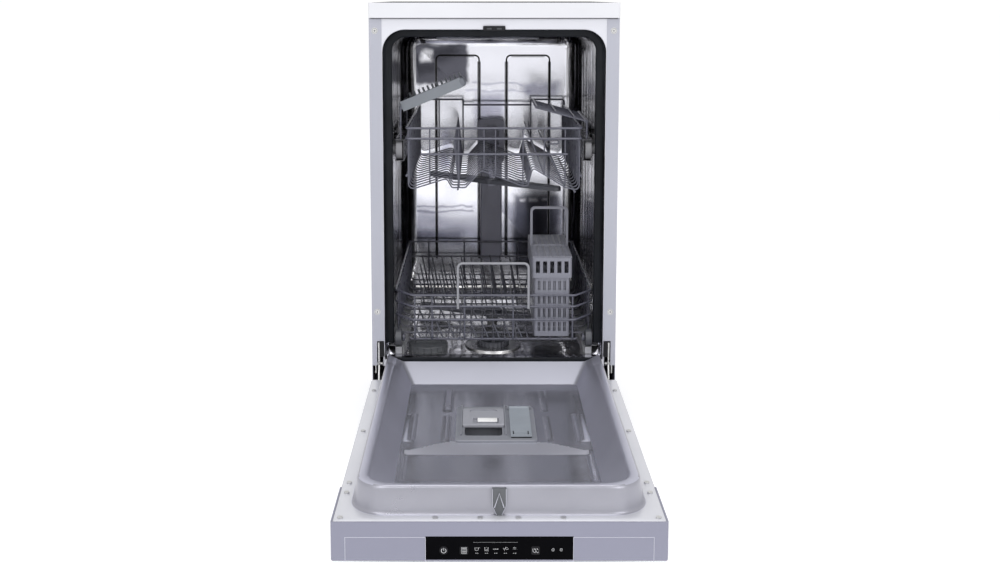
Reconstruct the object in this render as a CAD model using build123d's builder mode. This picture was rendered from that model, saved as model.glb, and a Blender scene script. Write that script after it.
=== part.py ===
from build123d import *
import math
import os

# Slimline free-standing dishwasher, 45 cm class, modelled with its door open
# and both baskets pushed in.  X is to the right seen from the front, Y runs
# from the door to the back, Z is up.  The origin is the middle of the
# footprint of the opened machine, on the floor.

# ---------------------------------------------------------------- dimensions
WIDTH = 448.0            # over the worktop and the control fascia
HEIGHT = 845.0           # floor to worktop
CABINET_DEPTH = 542.0    # front frame to rear panel
DOOR_REACH = 622.0       # front frame to the far edge of the lowered door
YF = (DOOR_REACH - CABINET_DEPTH) / 2     # front frame plane in this frame
SHEET = 1.0              # steel sheet
WORKTOP_T = 27.0
Z_TOP = HEIGHT - WORKTOP_T

HINGE_Y, HINGE_Z = 12.0, 180.0     # door pivot, from the front plane
DOOR_T = 55.0                      # outer face to liner flange
FLANGE_Z = 165.0                   # liner flange of the lowered door
FACE_Z = FLANGE_Z - DOOR_T
DOOR_TAIL = 60.0                   # door reaches this far behind the front plane
CAP_Y = -509.0                     # where the control fascia starts
RIM_H = 38.0

TUB_X = 196.0                      # half the tub's inner width
TUB_FLOOR = 188.0
TUB_ROOF = 791.0
TUB_BACK = 520.0
MOUTH_X, MOUTH_LOW, MOUTH_HIGH = 200.4, 197.0, 797.0
STEP_Y = 36.0                      # depth of the step that carries the gasket

SUMP_Y, SUMP_R = 105.0, 46.0
SALT_X, SALT_Y, SALT_R = -124.0, 82.0, 37.0
ARM_Y = 262.0                      # both spray arms turn about this line
LOWER_ARM_Z, UPPER_ARM_Z = 204.0, 480.0
ARM_REACH = 165.0

WHEEL_R = 18.5                     # rail wheels of the upper basket
WHEEL_Z = 574.0
WHEEL_YS = (62.0, 150.0)
ROLLER_R = 16.0                    # wheels of the lower basket
TRACK_Z = 203.4
ROLLER_YS = (48.0, 426.0)
FIT = 0.05                         # radial clearance of every running fit


# ------------------------------------------------------------ working planes
def at_z(z):
    """Horizontal plane, local axes X and Y, measured from the front frame."""
    return Plane(origin=(0, YF, z), x_dir=(1, 0, 0), z_dir=(0, 0, 1))


def at_y(y):
    """Upright plane across the machine, local axes X and Z, facing the front."""
    return Plane(origin=(0, YF + y, 0), x_dir=(1, 0, 0), z_dir=(0, -1, 0))


def at_x(x):
    """Upright plane along the machine, local axes Y and Z, facing +X."""
    return Plane(origin=(x, YF, 0), x_dir=(0, 1, 0), z_dir=(1, 0, 0))


def rods(pairs, radius):
    """Round wires between pairs of points, added to the part being built."""
    groups = {}
    for p, q in pairs:
        a = Vector(p[0], p[1] + YF, p[2])
        b = Vector(q[0], q[1] + YF, q[2])
        groups.setdefault(round((b - a).length, 2), []).append(Plane(origin=a, z_dir=b - a))
    for length, planes in groups.items():
        with Locations(*[p.location for p in planes]):
            Cylinder(radius, length, align=(Align.CENTER, Align.CENTER, Align.MIN))


def trimmed(p, q, cut_p, cut_q):
    """The same run with a length cut off each end, so that bends stay clear."""
    a, b = Vector(*p), Vector(*q)
    d = (b - a).normalized()
    a, b = a + d * cut_p, b - d * cut_q
    return (a.X, a.Y, a.Z), (b.X, b.Y, b.Z)


pieces = {}

# =================================================================== cabinet
# ---- worktop: laminated board in a moulded edge frame
with BuildPart() as worktop_board:
    with BuildSketch(at_z(Z_TOP + 1.2)) as s:
        with Locations((0, 269.0)):
            Rectangle(441, 545)
    extrude(amount=WORKTOP_T - 1.7)
    chamfer(worktop_board.faces().sort_by(Axis.Z)[-1].edges(), 0.5)
pieces["worktop_board"] = worktop_board

with BuildPart() as worktop_frame:
    with BuildSketch(at_z(Z_TOP)) as s:
        with Locations((0, 267.5)):
            Rectangle(WIDTH, 549)
        with Locations((0, 269.0)):
            Rectangle(442, 546.2, mode=Mode.SUBTRACT)
        with Locations((0, 540.0)):
            Rectangle(442, 20, mode=Mode.SUBTRACT)
    extrude(amount=WORKTOP_T)
    fillet(worktop_frame.edges().filter_by(Axis.Z).group_by(Axis.Y)[0], 3.0)
    with BuildSketch(at_z(Z_TOP)) as s2:
        with Locations((0, 269.0)):
            Rectangle(442.4, 545.9)
        with Locations((0, 274.0)):
            Rectangle(428, 540, mode=Mode.SUBTRACT)
    extrude(amount=1.0)
pieces["worktop_frame"] = worktop_frame

# ---- side panels: folded sheet with a front strip and a rear return
with BuildPart() as left_side_panel:
    with BuildSketch(at_z(22)) as s:
        with Locations((-223.5, 270.45)):
            Rectangle(SHEET, 540.9)
        with Locations((-212.75, 0.5)):
            Rectangle(22.5, SHEET)
        with Locations((-214.5, 540.4)):
            Rectangle(19, SHEET)
    extrude(amount=Z_TOP - 0.3 - 22)
    with BuildSketch(at_y(-1)) as cut:
        with Locations((-207.5, 124)):
            Rectangle(15, 204)
        with Locations((-211.2, 100)):
            Rectangle(23.6, 160)
        with Locations((-213.5, 795), (-213.5, 281)):
            Circle(2.2)
    extrude(amount=-3, mode=Mode.SUBTRACT)
pieces["left_side_panel"] = left_side_panel

with BuildPart() as right_side_panel:
    mirror(left_side_panel.part, about=Plane.YZ)
pieces["right_side_panel"] = right_side_panel

with BuildPart() as back_panel:
    with BuildSketch(at_y(542)) as s:
        with Locations((0, 440)):
            Rectangle(447, 755)
        with Locations((-175, 92)):
            Circle(14.0, mode=Mode.SUBTRACT)
        with Locations((-120, 92)):
            Circle(11.0, mode=Mode.SUBTRACT)
        with Locations((175, 92)):
            Circle(9.0, mode=Mode.SUBTRACT)
        with Locations((0, 700)):
            with GridLocations(0, 14, 1, 5):
                SlotOverall(160, 5, mode=Mode.SUBTRACT)
    extrude(amount=SHEET)
    with BuildSketch(at_y(541)) as ribs:
        with Locations((-110, 420), (110, 420)):
            Rectangle(12, 420)
    extrude(amount=1.5)
pieces["back_panel"] = back_panel

# ---- base tray with bosses for the levelling feet
with BuildPart() as base_tray:
    with BuildSketch(at_z(20)) as s:
        with Locations((0, 283)):
            RectangleRounded(444, 510, 8)
    extrude(amount=42)
    with BuildSketch(at_z(23)) as s:
        with Locations((0, 283)):
            RectangleRounded(438, 504, 6)
    extrude(amount=60, mode=Mode.SUBTRACT)
    with BuildSketch(at_z(23)) as s:
        with Locations((0, 190), (0, 400)):
            Rectangle(437.6, 3)
        with Locations((0, 330)):
            Rectangle(3, 137)
        with Locations((-190, 60), (190, 60), (-190, 505), (190, 505)):
            Circle(12)
    extrude(amount=20)
    with BuildSketch(at_z(19)) as s:
        with Locations((-190, 60), (190, 60), (-190, 505), (190, 505)):
            Circle(5 + FIT)
    extrude(amount=30, mode=Mode.SUBTRACT)
    with BuildSketch(at_y(530)) as s:
        with Locations((0, 55)):
            Rectangle(300, 20)
    extrude(amount=-12, mode=Mode.SUBTRACT)
pieces["base_tray"] = base_tray

with BuildPart() as plinth_panel:
    with BuildSketch(at_z(22)) as s:
        with Locations((0, 24.9)):
            Rectangle(441, 1.8)
    extrude(amount=68)
    with BuildSketch(at_z(34), at_z(62.2), at_z(88.2)) as s:
        with Locations((0, 26.7)):
            Rectangle(436, 2.2)
    extrude(amount=1.8)
    with BuildSketch(at_y(24.8)) as s:
        with Locations((0, 48)):
            with GridLocations(24, 0, 9, 1):
                SlotOverall(16, 4, mode=Mode.ADD)
    extrude(amount=-3, mode=Mode.SUBTRACT)
pieces["plinth_panel"] = plinth_panel


def foot_pair(x, y):
    """Levelling foot: threaded stem and a wide pad."""
    with BuildPart() as foot:
        with BuildSketch(at_z(0)) as pad:
            with Locations((x, y)):
                Circle(19)
        extrude(amount=8)
        chamfer(foot.faces().sort_by(Axis.Z)[-1].edges(), 2.5)
        with BuildSketch(at_z(8)) as nut:
            with Locations((x, y)):
                RegularPolygon(9, 6)
        extrude(amount=6)
        with BuildSketch(at_z(14)) as stem:
            with Locations((x, y)):
                Circle(5)
        extrude(amount=26)
    return foot


front_foot_left = foot_pair(-190, 60)
front_foot_right = foot_pair(190, 60)
rear_left = foot_pair(-190, 505)
rear_right = foot_pair(190, 505)
with BuildPart() as rear_feet:
    add(rear_left.part)
    add(rear_right.part)
pieces["front_foot_left"] = front_foot_left
pieces["front_foot_right"] = front_foot_right
pieces["rear_feet"] = rear_feet


# ---- stainless tub: flanged mouth, step for the gasket, pressed box
def tub_section(half, low, high, r_low, r_high):
    """Cross-section of the tub with its own lower and upper corner radii."""
    with BuildSketch(Plane.XY, mode=Mode.PRIVATE) as section:
        with Locations((0, (low + high) / 2)):
            Rectangle(2 * half, high - low)
        fillet(section.vertices().group_by(Axis.Y)[0], r_low)
        fillet(section.vertices().group_by(Axis.Y)[-1], r_high)
    return section.sketch


with BuildPart() as tub_cavity:
    with BuildSketch(at_y(STEP_Y + SHEET)) as s:
        add(tub_section(TUB_X, TUB_FLOOR, TUB_ROOF, 19, 35))
    extrude(amount=-(TUB_BACK - STEP_Y - SHEET))
    fillet(tub_cavity.faces().sort_by(Axis.Y)[-1].edges(), 18)

with BuildPart() as tub:
    with BuildSketch(at_y(STEP_Y)) as s:
        add(tub_section(TUB_X + SHEET, TUB_FLOOR - SHEET, TUB_ROOF + SHEET, 20, 36))
    extrude(amount=-(TUB_BACK + SHEET - STEP_Y))
    fillet(tub.faces().sort_by(Axis.Y)[-1].edges(), 19)
    with BuildSketch(at_y(STEP_Y + SHEET)) as s:
        add(tub_section(MOUTH_X + SHEET, MOUTH_LOW - SHEET, MOUTH_HIGH + SHEET, 4, 41))
    extrude(amount=STEP_Y - 0.5)
    with BuildSketch(at_y(2.2)) as s:
        with Locations((0, 524.5)):
            Rectangle(418, 585)
        with Locations((0, 210)):
            Rectangle(407, 64)
    extrude(amount=SHEET)
    with BuildSketch(at_y(STEP_Y)) as s:
        add(tub_section(MOUTH_X, MOUTH_LOW, MOUTH_HIGH, 3, 40))
    extrude(amount=STEP_Y, mode=Mode.SUBTRACT)
    with BuildSketch(at_y(STEP_Y + 2)) as s:
        add(tub_section(TUB_X, MOUTH_LOW, TUB_ROOF, 19, 35))
    extrude(amount=4, mode=Mode.SUBTRACT)
    add(tub_cavity.part, mode=Mode.SUBTRACT)
    with BuildSketch(at_z(170)) as s:
        with Locations((0, SUMP_Y)):
            Circle(SUMP_R)
        with Locations((SALT_X, SALT_Y)):
            Circle(28.5)
        with Locations((0, ARM_Y)):
            Circle(11)
    extrude(amount=22, mode=Mode.SUBTRACT)
    with BuildSketch(at_y(515)) as s:
        with Locations((0, 278)):
            Circle(10)
    extrude(amount=-10, mode=Mode.SUBTRACT)
pieces["tub"] = tub

# ---- door gasket round three sides, and the strip along the lower lip
with BuildPart() as tub_gasket:
    with BuildSketch(at_y(STEP_Y + 0.3)) as s:
        with Locations((0, 494.1)):
            Rectangle(391.8, 592.2)
        fillet(s.vertices().group_by(Axis.Y)[-1], 34.9)
        with BuildSketch(mode=Mode.PRIVATE) as inside:
            with Locations((0, 490)):
                Rectangle(372, 584)
            fillet(inside.vertices().group_by(Axis.Y)[-1], 25)
        add(inside.sketch, mode=Mode.SUBTRACT)
        with Locations((0, 193)):
            Rectangle(400, 30, mode=Mode.SUBTRACT)
    extrude(amount=-10)
    with BuildSketch(at_y(STEP_Y - 0.05)) as lip:
        with Locations((0, 497.35)):
            Rectangle(400.2, 598.7)
        fillet(lip.vertices().group_by(Axis.Y)[-1], 39.7)
        with BuildSketch(mode=Mode.PRIVATE) as inside:
            with Locations((0, 490)):
                Rectangle(372, 584)
            fillet(inside.vertices().group_by(Axis.Y)[-1], 25)
        add(inside.sketch, mode=Mode.SUBTRACT)
        with Locations((0, 193)):
            Rectangle(410, 50, mode=Mode.SUBTRACT)
    extrude(amount=0.55)
    with BuildSketch(at_y(STEP_Y + 1.3)) as joiner:
        with Locations((0, 487)):
            Rectangle(390, 596)
        fillet(joiner.vertices().group_by(Axis.Y)[-1], 34)
        with BuildSketch(mode=Mode.PRIVATE) as inside:
            with Locations((0, 490)):
                Rectangle(372, 584)
            fillet(inside.vertices().group_by(Axis.Y)[-1], 25)
        add(inside.sketch, mode=Mode.SUBTRACT)
        with Locations((0, 193)):
            Rectangle(400, 50, mode=Mode.SUBTRACT)
    extrude(amount=1.5)
    with BuildSketch(at_y(1.1)) as s2:
        with Locations((0, 191.75)):
            Rectangle(372, 6.5)
    extrude(amount=3.1)
pieces["tub_gasket"] = tub_gasket

with BuildPart() as side_panel_screws:
    with BuildSketch(at_y(-0.05)) as washer:
        with Locations((-213.5, 795), (-213.5, 281), (213.5, 795), (213.5, 281)):
            Circle(5.6)
    extrude(amount=0.35)
    with BuildSketch(at_y(-0.4)) as head:
        with Locations((-213.5, 795), (-213.5, 281), (213.5, 795), (213.5, 281)):
            Circle(3.8)
    extrude(amount=0.45)
    with BuildSketch(at_y(-0.05)) as shank:
        with Locations((-213.5, 795), (-213.5, 281), (213.5, 795), (213.5, 281)):
            Circle(2.0)
    extrude(amount=-9)
pieces["side_panel_screws"] = side_panel_screws

with BuildPart() as door_striker:
    with BuildSketch(at_y(1.1)) as s:
        with Locations((0, 799.4)):
            RectangleRounded(40, 8.4, 2)
        with Locations((-9, 798.6), (9, 798.6)):
            Rectangle(9, 3.4, mode=Mode.SUBTRACT)
    extrude(amount=3.4)
pieces["door_striker"] = door_striker

# ---- hinges: fixed brackets with pins, covers, arms on the door, springs
with BuildPart() as bracket_left:
    with BuildSketch(at_x(-218.8)) as s:
        with BuildLine() as outline:
            Polyline(
                (4, 164), (4, 225), (262, 225), (262, 214), (110, 214), (110, 28),
                (80, 28), (80, 64), (72, 110), (72, 134), (62, 147), (45, 153), (22, 164), close=True,
            )
        make_face()
    extrude(amount=2)
    with BuildSketch(at_x(-216.8)) as pin:
        with Locations((HINGE_Y, HINGE_Z)):
            Circle(4)
    extrude(amount=11)
    with BuildSketch(at_x(-216.8)) as peg:
        with Locations((252, 219.5)):
            Circle(2)
    extrude(amount=11)
with BuildPart() as hinge_brackets:
    add(bracket_left.part)
    mirror(bracket_left.part, about=Plane.YZ)
pieces["hinge_brackets"] = hinge_brackets

with BuildPart() as hinge_covers:
    with BuildSketch(at_y(1.1)) as s:
        with Locations((-205.9, 211), (205.9, 211)):
            RectangleRounded(8.4, 29, 1.5)
    extrude(amount=3.4)
pieces["hinge_covers"] = hinge_covers

with BuildPart() as arm_left:
    with BuildSketch(at_x(-213)) as s:
        with BuildLine() as outline:
            Polyline(
                (0, 223), (9, 223), (18, 188), (21, 178), (16, 152), (8, 118),
                (-150, 118), (-150, 146), (-8, 148), (-2, 165), (3, 180), close=True,
            )
        make_face()
        with Locations((HINGE_Y, HINGE_Z)):
            Circle(9)
        with Locations((HINGE_Y, HINGE_Z)):
            Circle(4 + FIT, mode=Mode.SUBTRACT)
        with Locations((5, 217)):
            Circle(1.5, mode=Mode.SUBTRACT)
    extrude(amount=2.5)
with BuildPart() as hinge_arms:
    add(arm_left.part)
    mirror(arm_left.part, about=Plane.YZ)
pieces["hinge_arms"] = hinge_arms

with BuildPart() as spring_left:
    with BuildSketch(at_y(45)) as s:
        with Locations((-208, 218)):
            Circle(5.2)
            Circle(4.0, mode=Mode.SUBTRACT)
    extrude(amount=-180)
    with BuildSketch(at_y(45), at_y(224)) as s:
        with Locations((-208, 218)):
            Circle(4.2)
    extrude(amount=-1)
    with BuildSketch(at_y(5)) as s:
        with Locations((-208, 217)):
            Circle(1.2)
    extrude(amount=-42)
    with BuildSketch(at_y(224)) as s:
        with Locations((-208, 219)):
            Circle(1.2)
    extrude(amount=-25.5)
    with BuildSketch(at_x(-214)) as s:
        with Locations((5, 217)):
            Circle(1.2)
    extrude(amount=6)
with BuildPart() as hinge_springs:
    add(spring_left.part)
    mirror(spring_left.part, about=Plane.YZ)
pieces["hinge_springs"] = hinge_springs

# ---- water system below the tub
WELL_R = 38.0
with BuildPart() as sump:
    with BuildSketch(at_z(100)) as s:
        with Locations((0, SUMP_Y)):
            Circle(WELL_R)
    extrude(amount=78)
    with BuildSketch(at_z(172)) as s:
        with Locations((0, SUMP_Y)):
            Circle(50)
    extrude(amount=14.9)
    with BuildSketch(at_z(182)) as s:
        with Locations((0, SUMP_Y)):
            Circle(60)
    extrude(amount=4.9)
    with BuildSketch(at_z(148)) as s:
        with Locations((0, 204)):
            Rectangle(34, 148)
    extrude(amount=30)
    with BuildSketch(at_z(176)) as s:
        with Locations((0, ARM_Y)):
            Circle(10)
    extrude(amount=41)
    with BuildSketch(at_x(30)) as s:
        with Locations((SUMP_Y, 122)):
            Circle(14)
    extrude(amount=33)
    with BuildSketch(at_y(125)) as s:
        with Locations((-24, 122)):
            Circle(12)
    extrude(amount=-21.8)
    with BuildSketch(at_x(16)) as s:
        with Locations((250, 163)):
            Circle(8)
    extrude(amount=19)
    with BuildSketch(at_z(104)) as s:
        with Locations((0, SUMP_Y)):
            Circle(WELL_R - 4)
    extrude(amount=90, mode=Mode.SUBTRACT)
    with BuildSketch(at_z(175)) as s:
        with Locations((0, SUMP_Y)):
            Circle(SUMP_R)
    extrude(amount=20, mode=Mode.SUBTRACT)
    with BuildSketch(at_z(155)) as s:
        with Locations((0, ARM_Y)):
            Circle(7)
    extrude(amount=70, mode=Mode.SUBTRACT)
    with BuildSketch(at_z(152)) as s:
        with Locations((0, 210)):
            Rectangle(26, 128)
    extrude(amount=22, mode=Mode.SUBTRACT)
    with BuildSketch(at_x(25)) as s:
        with Locations((SUMP_Y, 122)):
            Circle(11)
    extrude(amount=45, mode=Mode.SUBTRACT)
    with BuildSketch(at_y(122)) as s:
        with Locations((-24, 122)):
            Circle(9)
    extrude(amount=-30, mode=Mode.SUBTRACT)
    with BuildSketch(at_x(10)) as s:
        with Locations((250, 163)):
            Circle(6)
    extrude(amount=30, mode=Mode.SUBTRACT)
pieces["sump"] = sump

with BuildPart() as circulation_pump:
    with BuildSketch(at_x(66)) as s:
        with Locations((SUMP_Y + 8, 112)):
            Circle(38)
    extrude(amount=34)
    with BuildSketch(at_x(100)) as s:
        with Locations((SUMP_Y + 8, 112)):
            Circle(31)
    extrude(amount=70)
    fillet(circulation_pump.faces().sort_by(Axis.X)[-1].edges(), 6)
    with BuildSketch(at_x(63.2)) as s:
        with Locations((SUMP_Y, 122)):
            Circle(13.5)
    extrude(amount=5)
    with BuildSketch(at_y(140)) as s:
        with Locations((84, 128)):
            Circle(9)
    extrude(amount=-50)
    with BuildSketch(at_x(112), at_x(150)) as s:
        with Locations((SUMP_Y + 8, 80)):
            Rectangle(40, 12)
    extrude(amount=6)
pieces["circulation_pump"] = circulation_pump

with BuildPart() as drain_pump:
    with BuildSketch(at_y(147)) as s:
        with Locations((-24, 122)):
            Circle(24)
    extrude(amount=-22)
    with BuildSketch(at_y(169)) as s:
        with Locations((-24, 122)):
            Circle(18)
    extrude(amount=-44)
    with BuildSketch(at_x(-44)) as s:
        with Locations((158, 122)):
            Circle(8)
    extrude(amount=-18)
pieces["drain_pump"] = drain_pump

with BuildPart() as water_softener:
    with BuildSketch(at_z(98)) as s:
        with Locations((-126, 110)):
            RectangleRounded(88, 76, 14)
    extrude(amount=82)
    fillet(water_softener.faces().sort_by(Axis.Z)[-1].edges(), 3)
    with BuildSketch(at_z(170)) as s:
        with Locations((SALT_X, SALT_Y + 18)):
            Circle(26)
    extrude(amount=14)
    with BuildSketch(at_z(182)) as s:
        with Locations((SALT_X, SALT_Y)):
            Circle(34)
    extrude(amount=4.9)
    with BuildSketch(at_z(182)) as s:
        with Locations((SALT_X, SALT_Y)):
            Circle(28)
    extrude(amount=11)
    with BuildSketch(at_z(150)) as s:
        with Locations((SALT_X, SALT_Y)):
            Circle(20)
    extrude(amount=60, mode=Mode.SUBTRACT)
    with BuildSketch(at_z(104)) as s:
        with Locations((-126, 110)):
            RectangleRounded(80, 68, 10)
    extrude(amount=66, mode=Mode.SUBTRACT)
pieces["water_softener"] = water_softener

with BuildPart() as inlet_valve:
    with BuildSketch(at_y(500)) as s:
        with Locations((-175, 92)):
            RectangleRounded(40, 44, 5)
    extrude(amount=-28)
    with BuildSketch(at_y(528)) as s:
        with Locations((-175, 92)):
            Circle(13.2)
            Circle(8.5, mode=Mode.SUBTRACT)
    extrude(amount=-13.8)
    with BuildSketch(at_x(-195)) as s:
        with Locations((514, 92)):
            Circle(12)
    extrude(amount=-10)
    with BuildSketch(at_y(500)) as s:
        with Locations((-175, 92)):
            Circle(7)
    extrude(amount=14)
pieces["inlet_valve"] = inlet_valve


def hose(name_points, radii, outer, inner):
    """Hose along straight runs joined by tangent arcs."""
    pts = [(x, y + YF, z) for x, y, z in name_points]
    with BuildPart() as tube:
        with BuildLine() as path:
            FilletPolyline(*pts, radius=radii)
        start = Vector(*pts[0])
        with BuildSketch(Plane(origin=start, z_dir=Vector(*pts[1]) - start)) as ring:
            Circle(outer)
            Circle(inner, mode=Mode.SUBTRACT)
        sweep(path=path.wires()[0])
    return tube


fill_hose = hose(
    [(-175, 485.8, 92), (-175, 330, 92), (-150, 240, 160), (-150, 148.3, 160)], [60, 60], 7, 5,
)
drain_hose = hose(
    [
        (-62.2, 158, 122), (-140, 158, 122), (-210, 250, 122), (-210, 380, 122), (-210, 380, 430),
        (-210, 450, 430), (-210, 450, 58), (-120, 450, 58), (-120, 500, 92), (-120, 521.6, 92),
    ],
    [50, 60, 40, 34, 34, 40, 26, 26], 8, 6.3,
)
spray_hose = hose([(84, 190.2, 128), (84, 214, 128), (84, 250, 163), (35.2, 250, 163)], [28, 22], 8, 6)
with BuildPart() as internal_hoses:
    add(fill_hose.part)
    add(drain_hose.part)
    add(spray_hose.part)
    with BuildSketch(at_y(541.8)) as s:
        with Locations((-120, 92)):
            Circle(10)
            Circle(8, mode=Mode.SUBTRACT)
    extrude(amount=20)
pieces["internal_hoses"] = internal_hoses

with BuildPart() as counterweight:
    with BuildSketch(at_z(23.2)) as s:
        with Locations((45, 496)):
            RectangleRounded(250, 64, 6)
    extrude(amount=96)
    chamfer(counterweight.faces().sort_by(Axis.Z)[-1].edges(), 4)
pieces["counterweight"] = counterweight

# ---- riser duct on the rear wall, with the socket for the basket's feed pipe
with BuildPart() as riser_duct:
    with BuildSketch(at_y(519.8)) as s:
        with Locations((0, 390)):
            RectangleRounded(48, 268, 22)
    extrude(amount=13)
    fillet(riser_duct.faces().sort_by(Axis.Y)[0].edges(), 4)
    with BuildSketch(at_y(519.8)) as s:
        with Locations((0, 538)):
            RectangleRounded(58, 96, 8)
    extrude(amount=37.8)
    with BuildSketch(at_y(519.7)) as s:
        with Locations((0, 278)):
            Circle(9.8)
    extrude(amount=-14)
    with BuildSketch(at_y(533.8)) as s:
        with Locations((0, 278)):
            Circle(6)
    extrude(amount=24, mode=Mode.SUBTRACT)
    with BuildSketch(at_y(517)) as s:
        with Locations((0, 390)):
            Rectangle(30, 240)
    extrude(amount=7.5, mode=Mode.SUBTRACT)
    with BuildSketch(at_y(517)) as s:
        with Locations((0, 508)):
            Circle(10)
    extrude(amount=60, mode=Mode.SUBTRACT)
    with BuildSketch(at_y(508)) as s:
        with BuildLine() as arch:
            Polyline((-17, 530), (17, 530), (17, 560), (9, 574), (-9, 574), (-17, 560), close=True)
        make_face()
    extrude(amount=60, mode=Mode.SUBTRACT)
pieces["riser_duct"] = riser_duct

# ---- fixed axles for the four rail wheels
with BuildPart() as axle_right:
    for wy in WHEEL_YS:
        with BuildSketch(at_x(168.5)) as s:
            with Locations((wy, WHEEL_Z)):
                Circle(4)
        extrude(amount=27.4)
        with BuildSketch(at_x(182.0)) as s:
            with Locations((wy, WHEEL_Z)):
                Circle(9)
        extrude(amount=13.9)
        with BuildSketch(at_x(192.9)) as s:
            with Locations((wy, WHEEL_Z)):
                RectangleRounded(30, 34, 5)
        extrude(amount=3)
with BuildPart() as wheel_axles:
    add(axle_right.part)
    mirror(axle_right.part, about=Plane.YZ)
pieces["wheel_axles"] = wheel_axles

# ---- tracks that carry the lower basket, with moulded front caps
with BuildPart() as track_right:
    with BuildSketch(at_y(50.2)) as s:
        with BuildLine() as outline:
            Polyline(
                (169.7, 189.2), (169.7, 203.4), (195.0, 203.4), (195.0, 202.2), (185.2, 202.2), (185.2, 191.4),
                (184.0, 191.4), (184.0, 202.2), (170.9, 202.2), (170.9, 189.2), close=True,
            )
        make_face()
    extrude(amount=-450)
    with BuildSketch(at_z(190.3)) as s:
        with Locations((177.6, 44)):
            RectangleRounded(12.6, 11, 2)
    extrude(amount=12.9)
with BuildPart() as rack_tracks:
    add(track_right.part)
    mirror(track_right.part, about=Plane.YZ)
pieces["rack_tracks"] = rack_tracks

# ---- filters and salt cap in the tub floor
with BuildPart() as fine_filter:
    with BuildSketch(at_z(188.1)) as s:
        with Locations((0, SUMP_Y)):
            Circle(54)
            Circle(31, mode=Mode.SUBTRACT)
    extrude(amount=1.6)
    with BuildSketch(at_z(189.6)) as s:
        with Locations((0, SUMP_Y)):
            Circle(54)
            Circle(51.5, mode=Mode.SUBTRACT)
    extrude(amount=1.2)
pieces["fine_filter"] = fine_filter

with BuildPart() as coarse_filter:
    with BuildSketch(at_z(120)) as s:
        with Locations((0, SUMP_Y)):
            Circle(28)
    extrude(amount=70)
    with BuildSketch(at_z(190)) as s:
        with Locations((0, SUMP_Y)):
            Circle(30.5)
    extrude(amount=9)
    with BuildSketch(at_z(123)) as s:
        with Locations((0, SUMP_Y)):
            Circle(25)
    extrude(amount=80, mode=Mode.SUBTRACT)
    with BuildSketch(at_z(190)) as s:
        with Locations((0, SUMP_Y)):
            with PolarLocations(29.6, 24):
                Rectangle(2.4, 3.2)
    extrude(amount=9, mode=Mode.SUBTRACT)
    with BuildSketch(at_z(196)) as s:
        with Locations((0, SUMP_Y)):
            Rectangle(50.6, 6)
            Rectangle(6, 50.6)
    extrude(amount=3)
pieces["coarse_filter"] = coarse_filter

with BuildPart() as salt_cap:
    with BuildSketch(at_z(188.4)) as s:
        with Locations((SALT_X, SALT_Y)):
            Circle(SALT_R)
    extrude(amount=11.6)
    fillet(salt_cap.faces().sort_by(Axis.Z)[-1].edges(), 2.5)
    with BuildSketch(at_z(188)) as s:
        with Locations((SALT_X, SALT_Y)):
            Circle(29)
    extrude(amount=6, mode=Mode.SUBTRACT)
    with BuildSketch(at_z(188)) as s:
        with Locations((SALT_X, SALT_Y)):
            with PolarLocations(SALT_R, 18):
                Circle(1.8)
    extrude(amount=9, mode=Mode.SUBTRACT)
    with BuildSketch(at_z(198)) as s:
        with Locations((SALT_X, SALT_Y)):
            SlotOverall(52, 9)
    extrude(amount=5)
pieces["salt_cap"] = salt_cap

# ====================================================================== door
with BuildPart() as door_outer_panel:
    with BuildSketch(at_z(FACE_Z)) as s:
        with Locations((0, (CAP_Y + DOOR_TAIL) / 2)):
            Rectangle(444, DOOR_TAIL - CAP_Y)
    extrude(amount=SHEET)
    with BuildSketch(at_z(FACE_Z)) as s:
        with Locations((-221.5, (CAP_Y + DOOR_TAIL) / 2), (221.5, (CAP_Y + DOOR_TAIL) / 2)):
            Rectangle(SHEET, DOOR_TAIL - CAP_Y)
        with Locations((0, DOOR_TAIL - 0.5)):
            Rectangle(444, SHEET)
    extrude(amount=30)
    with BuildSketch(at_z(FACE_Z)) as s:
        with Locations((-221.5, (CAP_Y - 40) / 2), (221.5, (CAP_Y - 40) / 2)):
            Rectangle(SHEET, -40 - CAP_Y)
    extrude(amount=53.9)
    with BuildSketch(at_z(FLANGE_Z - 2.1)) as s:
        with Locations((-213.2, (CAP_Y - 40) / 2), (213.2, (CAP_Y - 40) / 2)):
            Rectangle(17.6, -40 - CAP_Y)
        for sx in (-212.5, 212.5):
            with Locations((sx, -98), (sx, -293), (sx, -495)):
                Circle(2.1, mode=Mode.SUBTRACT)
    extrude(amount=SHEET)
pieces["door_outer_panel"] = door_outer_panel

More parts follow.
